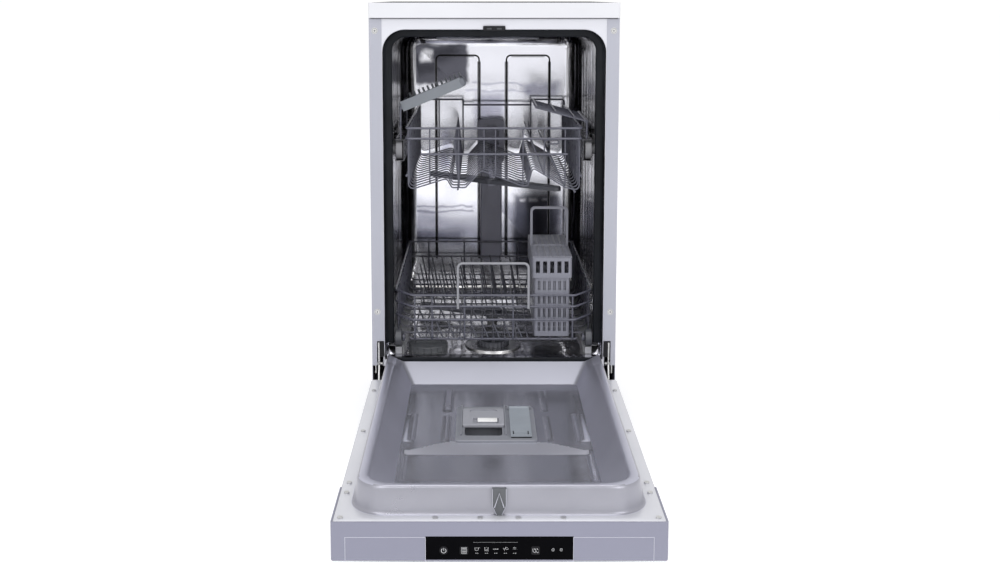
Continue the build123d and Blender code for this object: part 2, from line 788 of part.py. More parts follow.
with BuildPart() as control_fascia:
    with BuildSketch(at_z(FACE_Z)) as s:
        with Locations((0, (-DOOR_REACH + CAP_Y - 0.2) / 2)):
            Rectangle(WIDTH, CAP_Y - 0.2 + DOOR_REACH)
    extrude(amount=DOOR_T)
    fillet(control_fascia.edges().filter_by(Axis.Z).group_by(Axis.Y)[0], 2.0)
    fillet(control_fascia.faces().sort_by(Axis.Z)[0].edges().sort_by(Axis.Y)[0], 3.0)
    with BuildSketch(at_z(FACE_Z + 2.5)) as s:
        with Locations((0, -564)):
            Rectangle(443, 111)
    extrude(amount=DOOR_T, mode=Mode.SUBTRACT)
    with BuildSketch(at_z(FACE_Z + 2.5)) as s:
        with Locations((0, -502)):
            Rectangle(443, 20)
    extrude(amount=DOOR_T, mode=Mode.SUBTRACT)
    with BuildSketch(at_z(FLANGE_Z - 3.6)) as s:
        with Locations((-214, -564.5), (214, -564.5)):
            Rectangle(15.2, 110)
        with Locations((0, -612.4)):
            Rectangle(443.2, 14.4)
        for sx in (-212.5, 212.5):
            with Locations((sx, -529), (sx, -609)):
                Circle(2.1, mode=Mode.SUBTRACT)
        with Locations((-85.5, -610), (-25.5, -610), (25.5, -610), (85.5, -610)):
            Circle(2.1, mode=Mode.SUBTRACT)
    extrude(amount=2.5)
    with BuildSketch(at_y(-DOOR_REACH)) as s:
        with Locations((0, 129)):
            Rectangle(196.4, 32.6)
    extrude(amount=-3, mode=Mode.SUBTRACT)
    with BuildSketch(at_y(-DOOR_REACH)) as s:
        with Locations((-151.6, 126.5), (151.6, 126.5)):
            Rectangle(106.8, 35)
    extrude(amount=-0.5, mode=Mode.SUBTRACT)
pieces["control_fascia"] = control_fascia

BUTTON_X = (-74.0, -47.0, 48.0)
BUTTON_Z = 125.5
with BuildPart() as display_window:
    with BuildSketch(at_y(-DOOR_REACH + 2.6)) as s:
        with Locations((0, 129)):
            Rectangle(196, 32.2)
        with Locations((BUTTON_X[0], BUTTON_Z)):
            Circle(6.2, mode=Mode.SUBTRACT)
        with Locations((BUTTON_X[1], BUTTON_Z), (BUTTON_X[2], BUTTON_Z)):
            RectangleRounded(12.4, 12.4, 2.2, mode=Mode.SUBTRACT)
    extrude(amount=2.5)
    with BuildSketch(at_y(-DOOR_REACH + 12)) as frame:
        with Locations((0, 129)):
            Rectangle(192, 30)
            Rectangle(188, 26, mode=Mode.SUBTRACT)
    extrude(amount=9.4)
pieces["display_window"] = display_window

with BuildPart() as power_button:
    with BuildSketch(at_y(-DOOR_REACH + 9)) as s:
        with Locations((BUTTON_X[0], BUTTON_Z)):
            Circle(5.9)
    extrude(amount=9.2)
    fillet(power_button.faces().sort_by(Axis.Y)[0].edges(), 0.5)
    with BuildSketch(at_y(-DOOR_REACH + 9)) as s:
        with Locations((BUTTON_X[0], BUTTON_Z)):
            Circle(8)
    extrude(amount=1.5)
pieces["power_button"] = power_button


def square_button(x):
    """Push button that stands flush with the glossy window."""
    with BuildPart() as button:
        with BuildSketch(at_y(-DOOR_REACH + 9)) as s:
            with Locations((x, BUTTON_Z)):
                RectangleRounded(11.8, 11.8, 2)
        extrude(amount=9.2)
        fillet(button.faces().sort_by(Axis.Y)[0].edges(), 0.5)
        with BuildSketch(at_y(-DOOR_REACH + 9)) as collar:
            with Locations((x, BUTTON_Z)):
                RectangleRounded(16, 16, 2)
        extrude(amount=1.5)
    return button


programme_button = square_button(BUTTON_X[1])
half_load_button = square_button(BUTTON_X[2])
pieces["programme_button"] = programme_button
pieces["half_load_button"] = half_load_button


# ---- pressed liner: flange, raised rim, sloping dish
def dish(grow, top_z, floor_z, name_y=0.0):
    """Tapered dish of the liner; grow widens it by the sheet thickness."""
    with BuildPart() as body:
        with BuildSketch(at_z(floor_z)) as low:
            with Locations((0, -306)):
                RectangleRounded(298 + 2 * grow, 508 + 2 * grow, 8 + grow)
        with BuildSketch(at_z(top_z)) as high:
            with Locations((0, -283)):
                RectangleRounded(355.4 + 2 * grow, 596 + 2 * grow, 30 + grow)
        loft(ruled=True)
    return body


dish_outer = dish(SHEET, FLANGE_Z + RIM_H, 160.0)
dish_inner = dish(0.0, FLANGE_Z + RIM_H + 0.9, 161.0)
TAPER = 8.2
with BuildPart() as rim_hollow:
    with BuildSketch(at_z(FLANGE_Z - 2)) as s:
        with Locations((0, -302.5)):
            Rectangle(398.4, 589.4)
        fillet(s.vertices().group_by(Axis.Y)[0], 44)
    extrude(amount=RIM_H + 1, taper=TAPER)
    add(dish_outer.part, mode=Mode.SUBTRACT)

SCREWS_DOOR = [(sx, y) for sx in (-212.5, 212.5) for y in (-98, -293, -495, -529, -609)] + [
    (x, -610) for x in (-85.5, -25.5, 25.5, 85.5)
]
with BuildPart() as inner_liner:
    with BuildSketch(at_z(FLANGE_Z)) as s:
        with Locations((0, -302.5)):
            Rectangle(400, 591)
        fillet(s.vertices().group_by(Axis.Y)[0], 45)
    extrude(amount=RIM_H, taper=TAPER)
    add(dish_outer.part)
    with BuildSketch(at_z(FLANGE_Z)) as s:
        with Locations((0, 50)):
            Rectangle(420, 118)
    extrude(amount=60, mode=Mode.SUBTRACT)
    with BuildSketch(at_z(FLANGE_Z - SHEET)) as s:
        with Locations((0, (60 - 619.3) / 2)):
            Rectangle(442.6, 679.3)
    extrude(amount=SHEET)
    add(rim_hollow.part, mode=Mode.SUBTRACT)
    add(dish_inner.part, mode=Mode.SUBTRACT)
    with BuildSketch(at_z(150)) as s:
        with Locations((0, -255.5)):
            RectangleRounded(117, 143, 4)
        with Locations((-214, 12), (214, 12)):
            Rectangle(20, 100)
        with Locations(*SCREWS_DOOR):
            Circle(2.1)
    extrude(amount=30, mode=Mode.SUBTRACT)
pieces["inner_liner"] = inner_liner

with BuildPart() as door_screws:
    with BuildSketch(at_z(FLANGE_Z + 0.03)) as s:
        with Locations(*SCREWS_DOOR):
            Circle(3.8)
    extrude(amount=1.7)
    with BuildSketch(at_z(FLANGE_Z - 12)) as s:
        with Locations(*SCREWS_DOOR):
            Circle(1.9)
    extrude(amount=12.1)
pieces["door_screws"] = door_screws

with BuildPart() as door_latch:
    with BuildSketch(at_y(-598.3)) as s:
        with BuildLine() as outline:
            Polyline((-9.5, 203), (9.5, 203), (9.5, 178), (3.5, 165.1), (-3.5, 165.1), (-9.5, 178), close=True)
        make_face()
    extrude(amount=4.2)
    with BuildSketch(at_y(-602.5)) as s:
        with BuildLine() as chevron:
            Polyline((-7, 176), (0, 198), (7, 176), (4.5, 176), (0, 190), (-4.5, 176), close=True)
        make_face()
    extrude(amount=0.8)
pieces["door_latch"] = door_latch

# ---- dispenser set in the liner floor
with BuildPart() as dispenser_housing:
    with BuildSketch(at_z(161.1)) as s:
        with Locations((0, -255.5)):
            RectangleRounded(129, 153, 7)
    extrude(amount=3.9)
    chamfer(dispenser_housing.faces().sort_by(Axis.Z)[-1].edges(), 1.0)
    with BuildSketch(at_z(126)) as s:
        with Locations((0, -255.5)):
            RectangleRounded(116, 142, 4)
    extrude(amount=36)
    with BuildSketch(at_z(140)) as s:
        with Locations((-20, -281)):
            RectangleRounded(60, 62, 6)
    extrude(amount=40, mode=Mode.SUBTRACT)
    with BuildSketch(at_z(138)) as s:
        with Locations((39.5, -257)):
            RectangleRounded(28, 112, 4)
    extrude(amount=24, mode=Mode.SUBTRACT)
    with BuildSketch(at_z(160)) as s:
        with Locations((39.5, -260)):
            Circle(9)
    extrude(amount=12, mode=Mode.SUBTRACT)
    with BuildSketch(at_z(165)) as s:
        with Locations((-55.8, -246.5), (15.8, -246.5)):
            Rectangle(2.6, 133)
        with Locations((21, -191), (58.5, -191)):
            Rectangle(2.6, 6)
    extrude(amount=3.4)
    with BuildSketch(at_z(168.4)) as s:
        with Locations((21, -191), (58.5, -191)):
            Rectangle(2.6, 6)
    extrude(amount=1.6)
    with BuildSketch(at_x(21)) as s:
        with Locations((-191, 167.6)):
            Circle(1.05)
    extrude(amount=37)
pieces["dispenser_housing"] = dispenser_housing

with BuildPart() as detergent_lid:
    with BuildSketch(at_z(165.1)) as s:
        with Locations((-20, -238)):
            RectangleRounded(68, 77, 3)
    extrude(amount=4.4)
    fillet(detergent_lid.faces().sort_by(Axis.Z)[-1].edges(), 1.2)
    with BuildSketch(at_z(167)) as s:
        with Locations((-20, -211)):
            SlotOverall(46, 15)
    extrude(amount=5, mode=Mode.SUBTRACT)
    with BuildSketch(at_z(166.5)) as s:
        with Locations((-16, -257)):
            Rectangle(42, 23)
    extrude(amount=5, mode=Mode.SUBTRACT)
    with BuildSketch(at_z(166.5)) as s:
        with Locations((-13.5, -257)):
            RectangleRounded(31, 16, 2)
    extrude(amount=4.2)
pieces["detergent_lid"] = detergent_lid

with BuildPart() as rinse_aid_flap:
    with BuildSketch(at_z(165.3)) as s:
        with Locations((39.8, -258.5)):
            Rectangle(33.6, 125)
    extrude(amount=2.6)
    chamfer(rinse_aid_flap.faces().sort_by(Axis.Z)[-1].edges().group_by(Axis.Y)[0], 0.6)
    with BuildSketch(at_x(23.2)) as s:
        with Locations((-191, 167.6)):
            Circle(2.2)
    extrude(amount=33.2)
    with BuildSketch(at_z(166.4)) as s:
        with Locations((39.8, -194.5)):
            Rectangle(33.2, 7)
    extrude(amount=1.5)
    with BuildSketch(at_x(20)) as s:
        with Locations((-191, 167.6)):
            Circle(1.05 + FIT)
    extrude(amount=40, mode=Mode.SUBTRACT)
    with BuildSketch(at_z(165)) as s:
        with Locations((27.5, -309), (50.6, -309)):
            Rectangle(1.4, 16)
    extrude(amount=6, mode=Mode.SUBTRACT)
    with BuildSketch(at_z(167.8)) as s:
        with Locations((39.1, -314)):
            Rectangle(20, 4)
    extrude(amount=1.6)
pieces["rinse_aid_flap"] = rinse_aid_flap

# ============================================================= upper basket
UX = 156.5
U_TOP, U_MID, U_LOW = 618.0, 599.0, 567.0
W_PROFILE = [
    (-UX, U_TOP), (-UX, 503), (-86, 525), (-77, 508), (-52, 508), (-23, 540), (52, 511), (62, 511),
    (71, 545), (130, 509), (UX, 502), (UX, U_TOP),
]
W_YS = [24.0 + 32.0 * i for i in range(15)]
FLOOR_R = 1.3

with BuildPart() as upper_rack:
    floor_runs = []
    for i in range(len(W_PROFILE) - 1):
        (ax, az), (bx, bz) = W_PROFILE[i], W_PROFILE[i + 1]
        cuts = []
        for j in (i, i + 1):
            if j in (0, len(W_PROFILE) - 1):
                cuts.append(0.0)
                continue
            p, q, r = W_PROFILE[j - 1], W_PROFILE[j], W_PROFILE[j + 1]
            a1 = math.atan2(q[1] - p[1], q[0] - p[0])
            a2 = math.atan2(r[1] - q[1], r[0] - q[0])
            turn = abs((a2 - a1 + math.pi) % (2 * math.pi) - math.pi)
            cuts.append(FLOOR_R * math.tan(turn / 2) + 0.06)
        for y in W_YS:
            floor_runs.append(trimmed((ax, y, az), (bx, y, bz), *cuts))
    rods(floor_runs, FLOOR_R)
    gap = 0.06
    yv = W_YS[0] - 2 * FLOOR_R - gap
    yb = W_YS[-1] + 2 * FLOOR_R + gap
    uprights = [(x, yv, z) for x, z in ((-117, 516), (-64, 509), (-18, 539), (3, 530), (53, 512), (92, 533), (130, 511))]
    rods([(p, (p[0], p[1], U_TOP + 1)) for p in uprights], FLOOR_R)
    rods([((x, yb, z), (x, yb, top)) for x, z, top in ((-115, 517, 632), (-62, 509, 632), (87, 536, 632), (128, 511, 632))], FLOOR_R)
    leaning = []
    for y in W_YS:
        leaning.append(((-64, y, 509.9), (-73, y, 592)))
        leaning.append(((90.0, y, 537.3), (72, y, 584)))
        leaning.append(((125.5, y, 516.4), (103, y, 563)))
    rods(leaning, FLOOR_R)
    xr = UX + FLOOR_R + 2 + gap
    yf = yv - FLOOR_R - 2 - gap
    yk = yb + FLOOR_R + 2 + gap
    rods([((-xr - 2, yf, z), (xr + 2, yf, z)) for z in (U_TOP, U_MID)], 2)
    rods([((-120, yf, U_LOW), (138, yf, U_LOW))], 2)
    rods([((-64, yk, 619), (89, yk, 619))], 2)
    rods([((-xr - 2, yk, 631), (-60, yk, 631)), ((85, yk, 631), (xr + 2, yk, 631))], 2)
    rods([((sx * xr, yf + 2 + gap, z), (sx * xr, yk - 2 - gap, z)) for sx in (-1, 1) for z in (U_TOP, U_MID)], 2)
    under = FLOOR_R + 1.8 + gap
    rods([((x, W_YS[0] - 4, z - under), (x, W_YS[-1] + 4, z - under)) for x, z in ((-66, 508), (0, 530.85), (148, 504))], 1.8)
    rods([((sx * xr, W_YS[0] - 1, 530), (sx * xr, W_YS[-1] + 1, 530)) for sx in (-1, 1)], 2)
    rods([((sx * 172, y, 593.9), (sx * 172, y, top)) for sx, top in ((-1, 655), (1, 629)) for y in (54, 236)], 2)
    rods([((-172, 56.1, 652), (-172, 233.9, 652)), ((172, 56.1, 626), (172, 233.9, 626))], 1.55)
pieces["upper_rack"] = upper_rack

with BuildPart() as rail_right:
    with BuildSketch(at_y(46)) as s:
        with Locations((166.0, WHEEL_Z)):
            Rectangle(1, 2 * WHEEL_R + 2.5)
        with Locations((173.5, WHEEL_Z + WHEEL_R + 0.65), (173.5, WHEEL_Z - WHEEL_R - 0.75)):
            Rectangle(16, 1.2)
    extrude(amount=-426)
    with BuildSketch(at_x(163.55)) as s:
        with Locations((95, 585), (400, 585)):
            Rectangle(14, 8)
    extrude(amount=2)
with BuildPart() as upper_rails:
    add(rail_right.part)
    mirror(rail_right.part, about=Plane.YZ)
pieces["upper_rails"] = upper_rails

with BuildPart() as upper_feed_pipe:
    with BuildSketch(at_y(250)) as s:
        with Locations((0, 508)):
            Circle(9)
    extrude(amount=-246)
    with BuildSketch(at_z(474.5)) as s:
        with Locations((0, ARM_Y)):
            Circle(12)
    extrude(amount=4)
    with BuildSketch(at_z(478)) as s:
        with Locations((0, ARM_Y)):
            Circle(8)
    extrude(amount=26)
    with BuildSketch(at_z(514)) as s:
        with Locations((0, 272), (0, 432)):
            Rectangle(9, 10)
    extrude(amount=11.2)
    with BuildSketch(at_y(258)) as s:
        with Locations((0, 508)):
            Circle(7)
    extrude(amount=-250, mode=Mode.SUBTRACT)
    with BuildSketch(at_z(474)) as s:
        with Locations((0, ARM_Y)):
            Circle(6)
    extrude(amount=34, mode=Mode.SUBTRACT)
pieces["upper_feed_pipe"] = upper_feed_pipe


def spray_arm(z, bore, heading, hub_r, hub_h):
    """Two-bladed spray arm with its nozzle holes."""
    plane = Plane(origin=(0, YF + ARM_Y, z), x_dir=(math.cos(heading), math.sin(heading), 0), z_dir=(0, 0, 1))
    with BuildPart() as arm:
        with BuildSketch(plane) as blade:
            with BuildLine() as outline:
                Polyline(
                    (-ARM_REACH + 6, -9), (-30, -16), (30, -16), (ARM_REACH - 6, -9), (ARM_REACH, -4),
                    (ARM_REACH, 4), (ARM_REACH - 6, 9), (30, 16), (-30, 16), (-ARM_REACH + 6, 9),
                    (-ARM_REACH, 4), (-ARM_REACH, -4), close=True,
                )
            make_face()
        extrude(amount=9)
        chamfer(arm.faces().sort_by(Axis.Z)[-1].edges(), 1.8)
        with BuildSketch(plane) as hub:
            Circle(hub_r)
        extrude(amount=hub_h)
        with BuildSketch(plane) as nozzles:
            with Locations((-150, 0), (-118, 3), (-84, -3), (-52, 0), (52, 0), (84, 3), (118, -3), (150, 0)):
                SlotOverall(7, 2.4)
            Circle(bore)
        extrude(amount=20, mode=Mode.SUBTRACT)
    return arm


upper_spray_arm = spray_arm(UPPER_ARM_Z - 1.2, 8 + FIT, math.radians(-38), 17, 11.5)
lower_spray_arm = spray_arm(LOWER_ARM_Z, 10 + FIT, math.radians(-24), 20, 12)
pieces["upper_spray_arm"] = upper_spray_arm
pieces["lower_spray_arm"] = lower_spray_arm

TILT = math.radians(22.4)
LEFT_SHELF = Plane(origin=(-172, YF + 60, 652), x_dir=(math.cos(TILT), 0, math.sin(TILT)),
                   z_dir=(-math.sin(TILT), 0, math.cos(TILT)))
with BuildPart() as left_cup_shelf:
    with BuildSketch(LEFT_SHELF.offset(-1.5)) as deck:
        with Locations((61, 85)):
            Rectangle(118, 166)
        with Locations((61, 86)):
            with GridLocations(9.6, 0, 11, 1):
                SlotOverall(140, 4.6, rotation=90, mode=Mode.SUBTRACT)
    extrude(amount=3)
    with BuildSketch(LEFT_SHELF.offset(-9)) as bar:
        with Locations((62, 2)):
            Rectangle(120, 4)
    extrude(amount=19)
    with BuildSketch(LEFT_SHELF.offset(1.5)) as teeth:
        with Locations((64, 164)):
            with GridLocations(9.6, 0, 12, 1):
                Rectangle(4, 4)
    extrude(amount=9)
    with BuildSketch(Plane(origin=(-172, YF + 58, 652), x_dir=(1, 0, 0), z_dir=(0, 1, 0))) as barrel:
        Circle(4)
    extrude(amount=172)
    with BuildSketch(Plane(origin=(-172, YF + 50, 652), x_dir=(1, 0, 0), z_dir=(0, 1, 0))) as bore:
        Circle(1.55 + FIT)
    extrude(amount=200, mode=Mode.SUBTRACT)
pieces["left_cup_shelf"] = left_cup_shelf

TILT_R = math.radians(15.0)
CR, SR = math.cos(TILT_R), math.sin(TILT_R)


def shelf_point(u, y, w):
    """Point of the right-hand wire shelf: u from its pivot, w above it."""
    return (172 - u * CR + w * SR, y, 626 + u * SR + w * CR)


with BuildPart() as right_cup_shelf:
    with BuildSketch(Plane(origin=(172, YF + 58, 626), x_dir=(1, 0, 0), z_dir=(0, 1, 0))) as barrel:
        Circle(3.5)
        Circle(1.55 + FIT, mode=Mode.SUBTRACT)
    extrude(amount=174)
    ys = [64 + 13.5 * i for i in range(13)]
    rods([(shelf_point(3.7, y, 0), shelf_point(98, y, 0)) for y in ys], 1.3)
    rods([(shelf_point(u, 61, 1.3 + 1.6 + 0.06), shelf_point(u, 229, 1.3 + 1.6 + 0.06)) for u in (24, 60, 96)], 1.6)
pieces["right_cup_shelf"] = right_cup_shelf


def rail_wheels(y):
    """Two coaxial rail wheels, one each side."""
    with BuildPart() as wheels:
        with BuildSketch(at_x(169.0), at_x(-181.0)) as s:
            with Locations((y, WHEEL_Z)):
                Circle(WHEEL_R)
                Circle(4 + FIT, mode=Mode.SUBTRACT)
        extrude(amount=12)
        fillet(wheels.edges().filter_by(GeomType.CIRCLE).group_by(lambda e: e.radius)[-1], 1.2)
        with BuildSketch(at_x(168.9), at_x(-181.1)) as s:
            with Locations((y, WHEEL_Z)):
                with PolarLocations(11, 6):
                    Circle(3.2)
        extrude(amount=13, mode=Mode.SUBTRACT)
    return wheels


rail_wheels_front = rail_wheels(WHEEL_YS[0])
rail_wheels_rear = rail_wheels(WHEEL_YS[1])
pieces["rail_wheels_front"] = rail_wheels_front
pieces["rail_wheels_rear"] = rail_wheels_rear

# ============================================================= lower basket
LX = 150.0
SX = 183.2
L_RIMS = (308.0, 287.0, 262.0)
L_FLOOR = 226.0
FRONT_Y = 16.0
CROSS_YS = [27.0 + 42.0 * i for i in range(12)]
LONG_XS = [-147.0 + 21.0 * i for i in range(15)]

with BuildPart() as lower_rack:
    g = 0.06
    cz = L_FLOOR - 1.5 - 2.0 - g
    rods([((-158, CROSS_YS[0], cz), (158, CROSS_YS[0], cz))], 2)
    rods([((-SX + 1.4, y, cz), (SX - 1.4, y, cz)) for y in CROSS_YS[1:]], 2)
    rods([((x, CROSS_YS[0] - 4, L_FLOOR), (x, CROSS_YS[-1] + 4, L_FLOOR)) for x in LONG_XS], 1.5)
    up = cz + 2 + g
    rods([((sx * (SX - 3.2), y, up), (sx * (SX - 3.2), y, L_RIMS[0] + 1)) for sx in (-1, 1) for y in CROSS_YS[1:]], 1.5)
    rods([((x, FRONT_Y + 3.56, cz), (x, FRONT_Y + 3.56, L_RIMS[0] + 1)) for x in (-146, -114, -54, 36, 146)], 1.5)
    rim_x = SX - 3.2 + 1.5 + 2 + g
    yk = CROSS_YS[-1] + 8
    rods([((sx * rim_x, 57, z), (sx * rim_x, yk, z)) for sx in (-1, 1) for z in L_RIMS], 2)
    rods([((-LX + 2.5, FRONT_Y, z), (LX - 2.5, FRONT_Y, z)) for z in L_RIMS], 2)
    rods([trimmed((sx * LX, FRONT_Y, z), (sx * rim_x, 56, z), 2.2, 2.6) for sx in (-1, 1) for z in L_RIMS], 2)
    rods([((-rim_x - 2, yk + 2 + g, z), (rim_x + 2, yk + 2 + g, z)) for z in (L_RIMS[0], 274.0)], 2)
    rods([((x, yk - 2, cz), (x, yk - 2, L_RIMS[0] + 1)) for x in (-140, -60, 60, 140)], 1.5)
    with BuildSketch(at_x(166.0), at_x(-171.0)) as carriers:
        for ry in ROLLER_YS:
            with Locations((ry, ROLLER_R + TRACK_Z + 0.05)):
                Circle(7)
    extrude(amount=5)
    with BuildSketch(at_x(166.0), at_x(-185.5)) as axles:
        for ry in ROLLER_YS:
            with Locations((ry, ROLLER_R + TRACK_Z + 0.05)):
                Circle(3)
    extrude(amount=19.5)
pieces["lower_rack"] = lower_rack

with BuildPart() as lower_rack_tines:
    rows = []
    for i in range(10):
        x = -136.5 + 21.0 * i
        rows += [((x, y, 225.3), (x - 12.6, y, 256)) for y in (27, 153)]
        rows += [((x, y, 225.3), (x - 14.5, y, 298)) for y in (237, 321, 405)]
    for x in (73.5, 94.5, 115.5, 136.5):
        rows += [((x, y, 225.3), (x + 12.5, y, 292)) for y in (237, 321, 405)]
    rods(rows, 1.5)
pieces["lower_rack_tines"] = lower_rack_tines

with BuildPart() as lower_rack_handle:
    with BuildLine() as path:
        FilletPolyline(
            (-66, YF + 11.6, 284), (-66, YF + 11.6, 369), (64, YF + 11.6, 369), (64, YF + 11.6, 284), radius=9,
        )
    with BuildSketch(Plane(origin=(-66, YF + 11.6, 284), z_dir=(0, 0, 1))) as s:
        Circle(2.3)
    sweep(path=path.wires()[0])
pieces["lower_rack_handle"] = lower_rack_handle


def rack_wheels(y):
    """Two coaxial wheels of the lower basket, one each side."""
    with BuildPart() as wheels:
        with BuildSketch(at_x(172.0), at_x(-184.0)) as s:
            with Locations((y, TRACK_Z + ROLLER_R + 0.05)):
                Circle(ROLLER_R)
                Circle(3 + FIT, mode=Mode.SUBTRACT)
        extrude(amount=12)
        fillet(wheels.edges().filter_by(GeomType.CIRCLE).group_by(lambda e: e.radius)[-1], 1.2)
    return wheels


lower_wheels_front = rack_wheels(ROLLER_YS[0])
lower_wheels_rear = rack_wheels(ROLLER_YS[1])
pieces["lower_wheels_front"] = lower_wheels_front
pieces["lower_wheels_rear"] = lower_wheels_rear

# ---- cutlery basket with two hinged lid halves
BX, BY = 108.0, 125.0          # basket centre
B0, B1, B2 = 228.0, 339.0, 377.0
with BuildPart() as cutlery_basket:
    with BuildSketch(at_z(B0)) as s:
        with Locations((BX, BY)):
            RectangleRounded(66, 198, 5)
    extrude(amount=B1 - B0)
    with BuildSketch(at_z(B1)) as s:
        with Locations((BX, BY)):
            RectangleRounded(74, 206, 6)
    extrude(amount=B2 - B1)
    with BuildSketch(at_z(B0 + 2)) as s:
        with Locations((BX, BY)):
            RectangleRounded(62, 194, 3)
    extrude(amount=200, mode=Mode.SUBTRACT)
    with BuildSketch(at_z(B1 + 2)) as s:
        with Locations((BX, BY)):
            RectangleRounded(70, 202, 4)
    extrude(amount=200, mode=Mode.SUBTRACT)
    with BuildSketch(at_z(B0 + 1.8)) as s:
        with Locations((BX, BY - 66), (BX, BY), (BX, BY + 66)):
            Rectangle(62.4, 2)
    extrude(amount=110)
    with BuildSketch(at_y(BY + 2.5)) as s:
        with Locations((BX, 413)):
            RectangleRounded(73, 84, 9)
            RectangleRounded(64, 75, 6, mode=Mode.SUBTRACT)
        with Locations((BX, 368)):
            Rectangle(80, 18, mode=Mode.SUBTRACT)
        with Locations((BX - 34.25, 357), (BX + 34.25, 357)):
            Rectangle(4.5, 42)
    extrude(amount=5)
    with BuildSketch(at_y(BY - 110)) as s:
        with Locations((BX, 359.5)):
            with GridLocations(13.2, 0, 5, 1):
                Rectangle(7.6, 22)
        with Locations((BX, 285)):
            with GridLocations(9.5, 26, 6, 4):
                Rectangle(4.6, 17)
    extrude(amount=-220, mode=Mode.SUBTRACT)
    with BuildSketch(at_x(BX - 45)) as s:
        with Locations((BY - 52, 358), (BY + 52, 358)):
            with GridLocations(13, 0, 6, 1):
                Rectangle(6.4, 19)
        with Locations((BY - 81, 285), (BY - 33, 285), (BY + 33, 285), (BY + 81, 285)):
            with GridLocations(12, 26, 3, 4):
                Rectangle(6, 17)
    extrude(amount=90, mode=Mode.SUBTRACT)
pieces["cutlery_basket"] = cutlery_basket


def basket_lid(y0, y1, hinge_y):
    """Half of the basket's lid: a grid with a hinge barrel."""
    with BuildPart() as lid:
        with BuildSketch(at_z(B2 + 0.2)) as s:
            with Locations((BX, (y0 + y1) / 2)):
                Rectangle(73, y1 - y0)
                with GridLocations(11.6, 11.4, 6, 8):
                    Rectangle(8, 7.6, mode=Mode.SUBTRACT)
        extrude(amount=2)
        with BuildSketch(at_x(BX - 31)) as barrel:
            with Locations((hinge_y, B2 + 1.7)):
                Circle(1.5)
        extrude(amount=62)
    return lid


basket_lid_front = basket_lid(BY - 101, BY - 4.5, BY - 4.6)
basket_lid_rear = basket_lid(BY + 4.5, BY + 101, BY + 4.6)
pieces["basket_lid_front"] = basket_lid_front
pieces["basket_lid_rear"] = basket_lid_rear

# ==================================================================== output
os.makedirs("parts", exist_ok=True)
for label, piece in pieces.items():
    piece.part.label = label
    export_step(piece.part, f"parts/{label}.step")
print(len(pieces), "pieces")
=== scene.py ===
import math
import random

import bmesh
import bpy
import numpy as np
from mathutils import Matrix, Vector


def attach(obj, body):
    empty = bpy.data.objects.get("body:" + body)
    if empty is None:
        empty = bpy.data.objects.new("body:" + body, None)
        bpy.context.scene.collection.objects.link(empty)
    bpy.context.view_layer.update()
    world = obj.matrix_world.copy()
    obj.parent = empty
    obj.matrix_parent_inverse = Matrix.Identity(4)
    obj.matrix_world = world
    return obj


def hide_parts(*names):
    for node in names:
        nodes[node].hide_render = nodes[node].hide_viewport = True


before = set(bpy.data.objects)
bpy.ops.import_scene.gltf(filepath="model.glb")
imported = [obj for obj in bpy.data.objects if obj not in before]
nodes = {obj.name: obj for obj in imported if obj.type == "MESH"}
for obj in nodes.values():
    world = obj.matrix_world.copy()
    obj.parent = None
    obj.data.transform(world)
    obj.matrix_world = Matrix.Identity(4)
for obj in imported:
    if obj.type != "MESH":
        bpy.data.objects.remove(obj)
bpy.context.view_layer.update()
random.seed(7)
rng = np.random.default_rng(7)

YF = 0.040  # the cabinet's front plane


def P(x, y, z):
    """Millimetres from the cabinet's front plane to metres in the shared frame."""
    return (x / 1000.0, y / 1000.0 + YF, z / 1000.0)


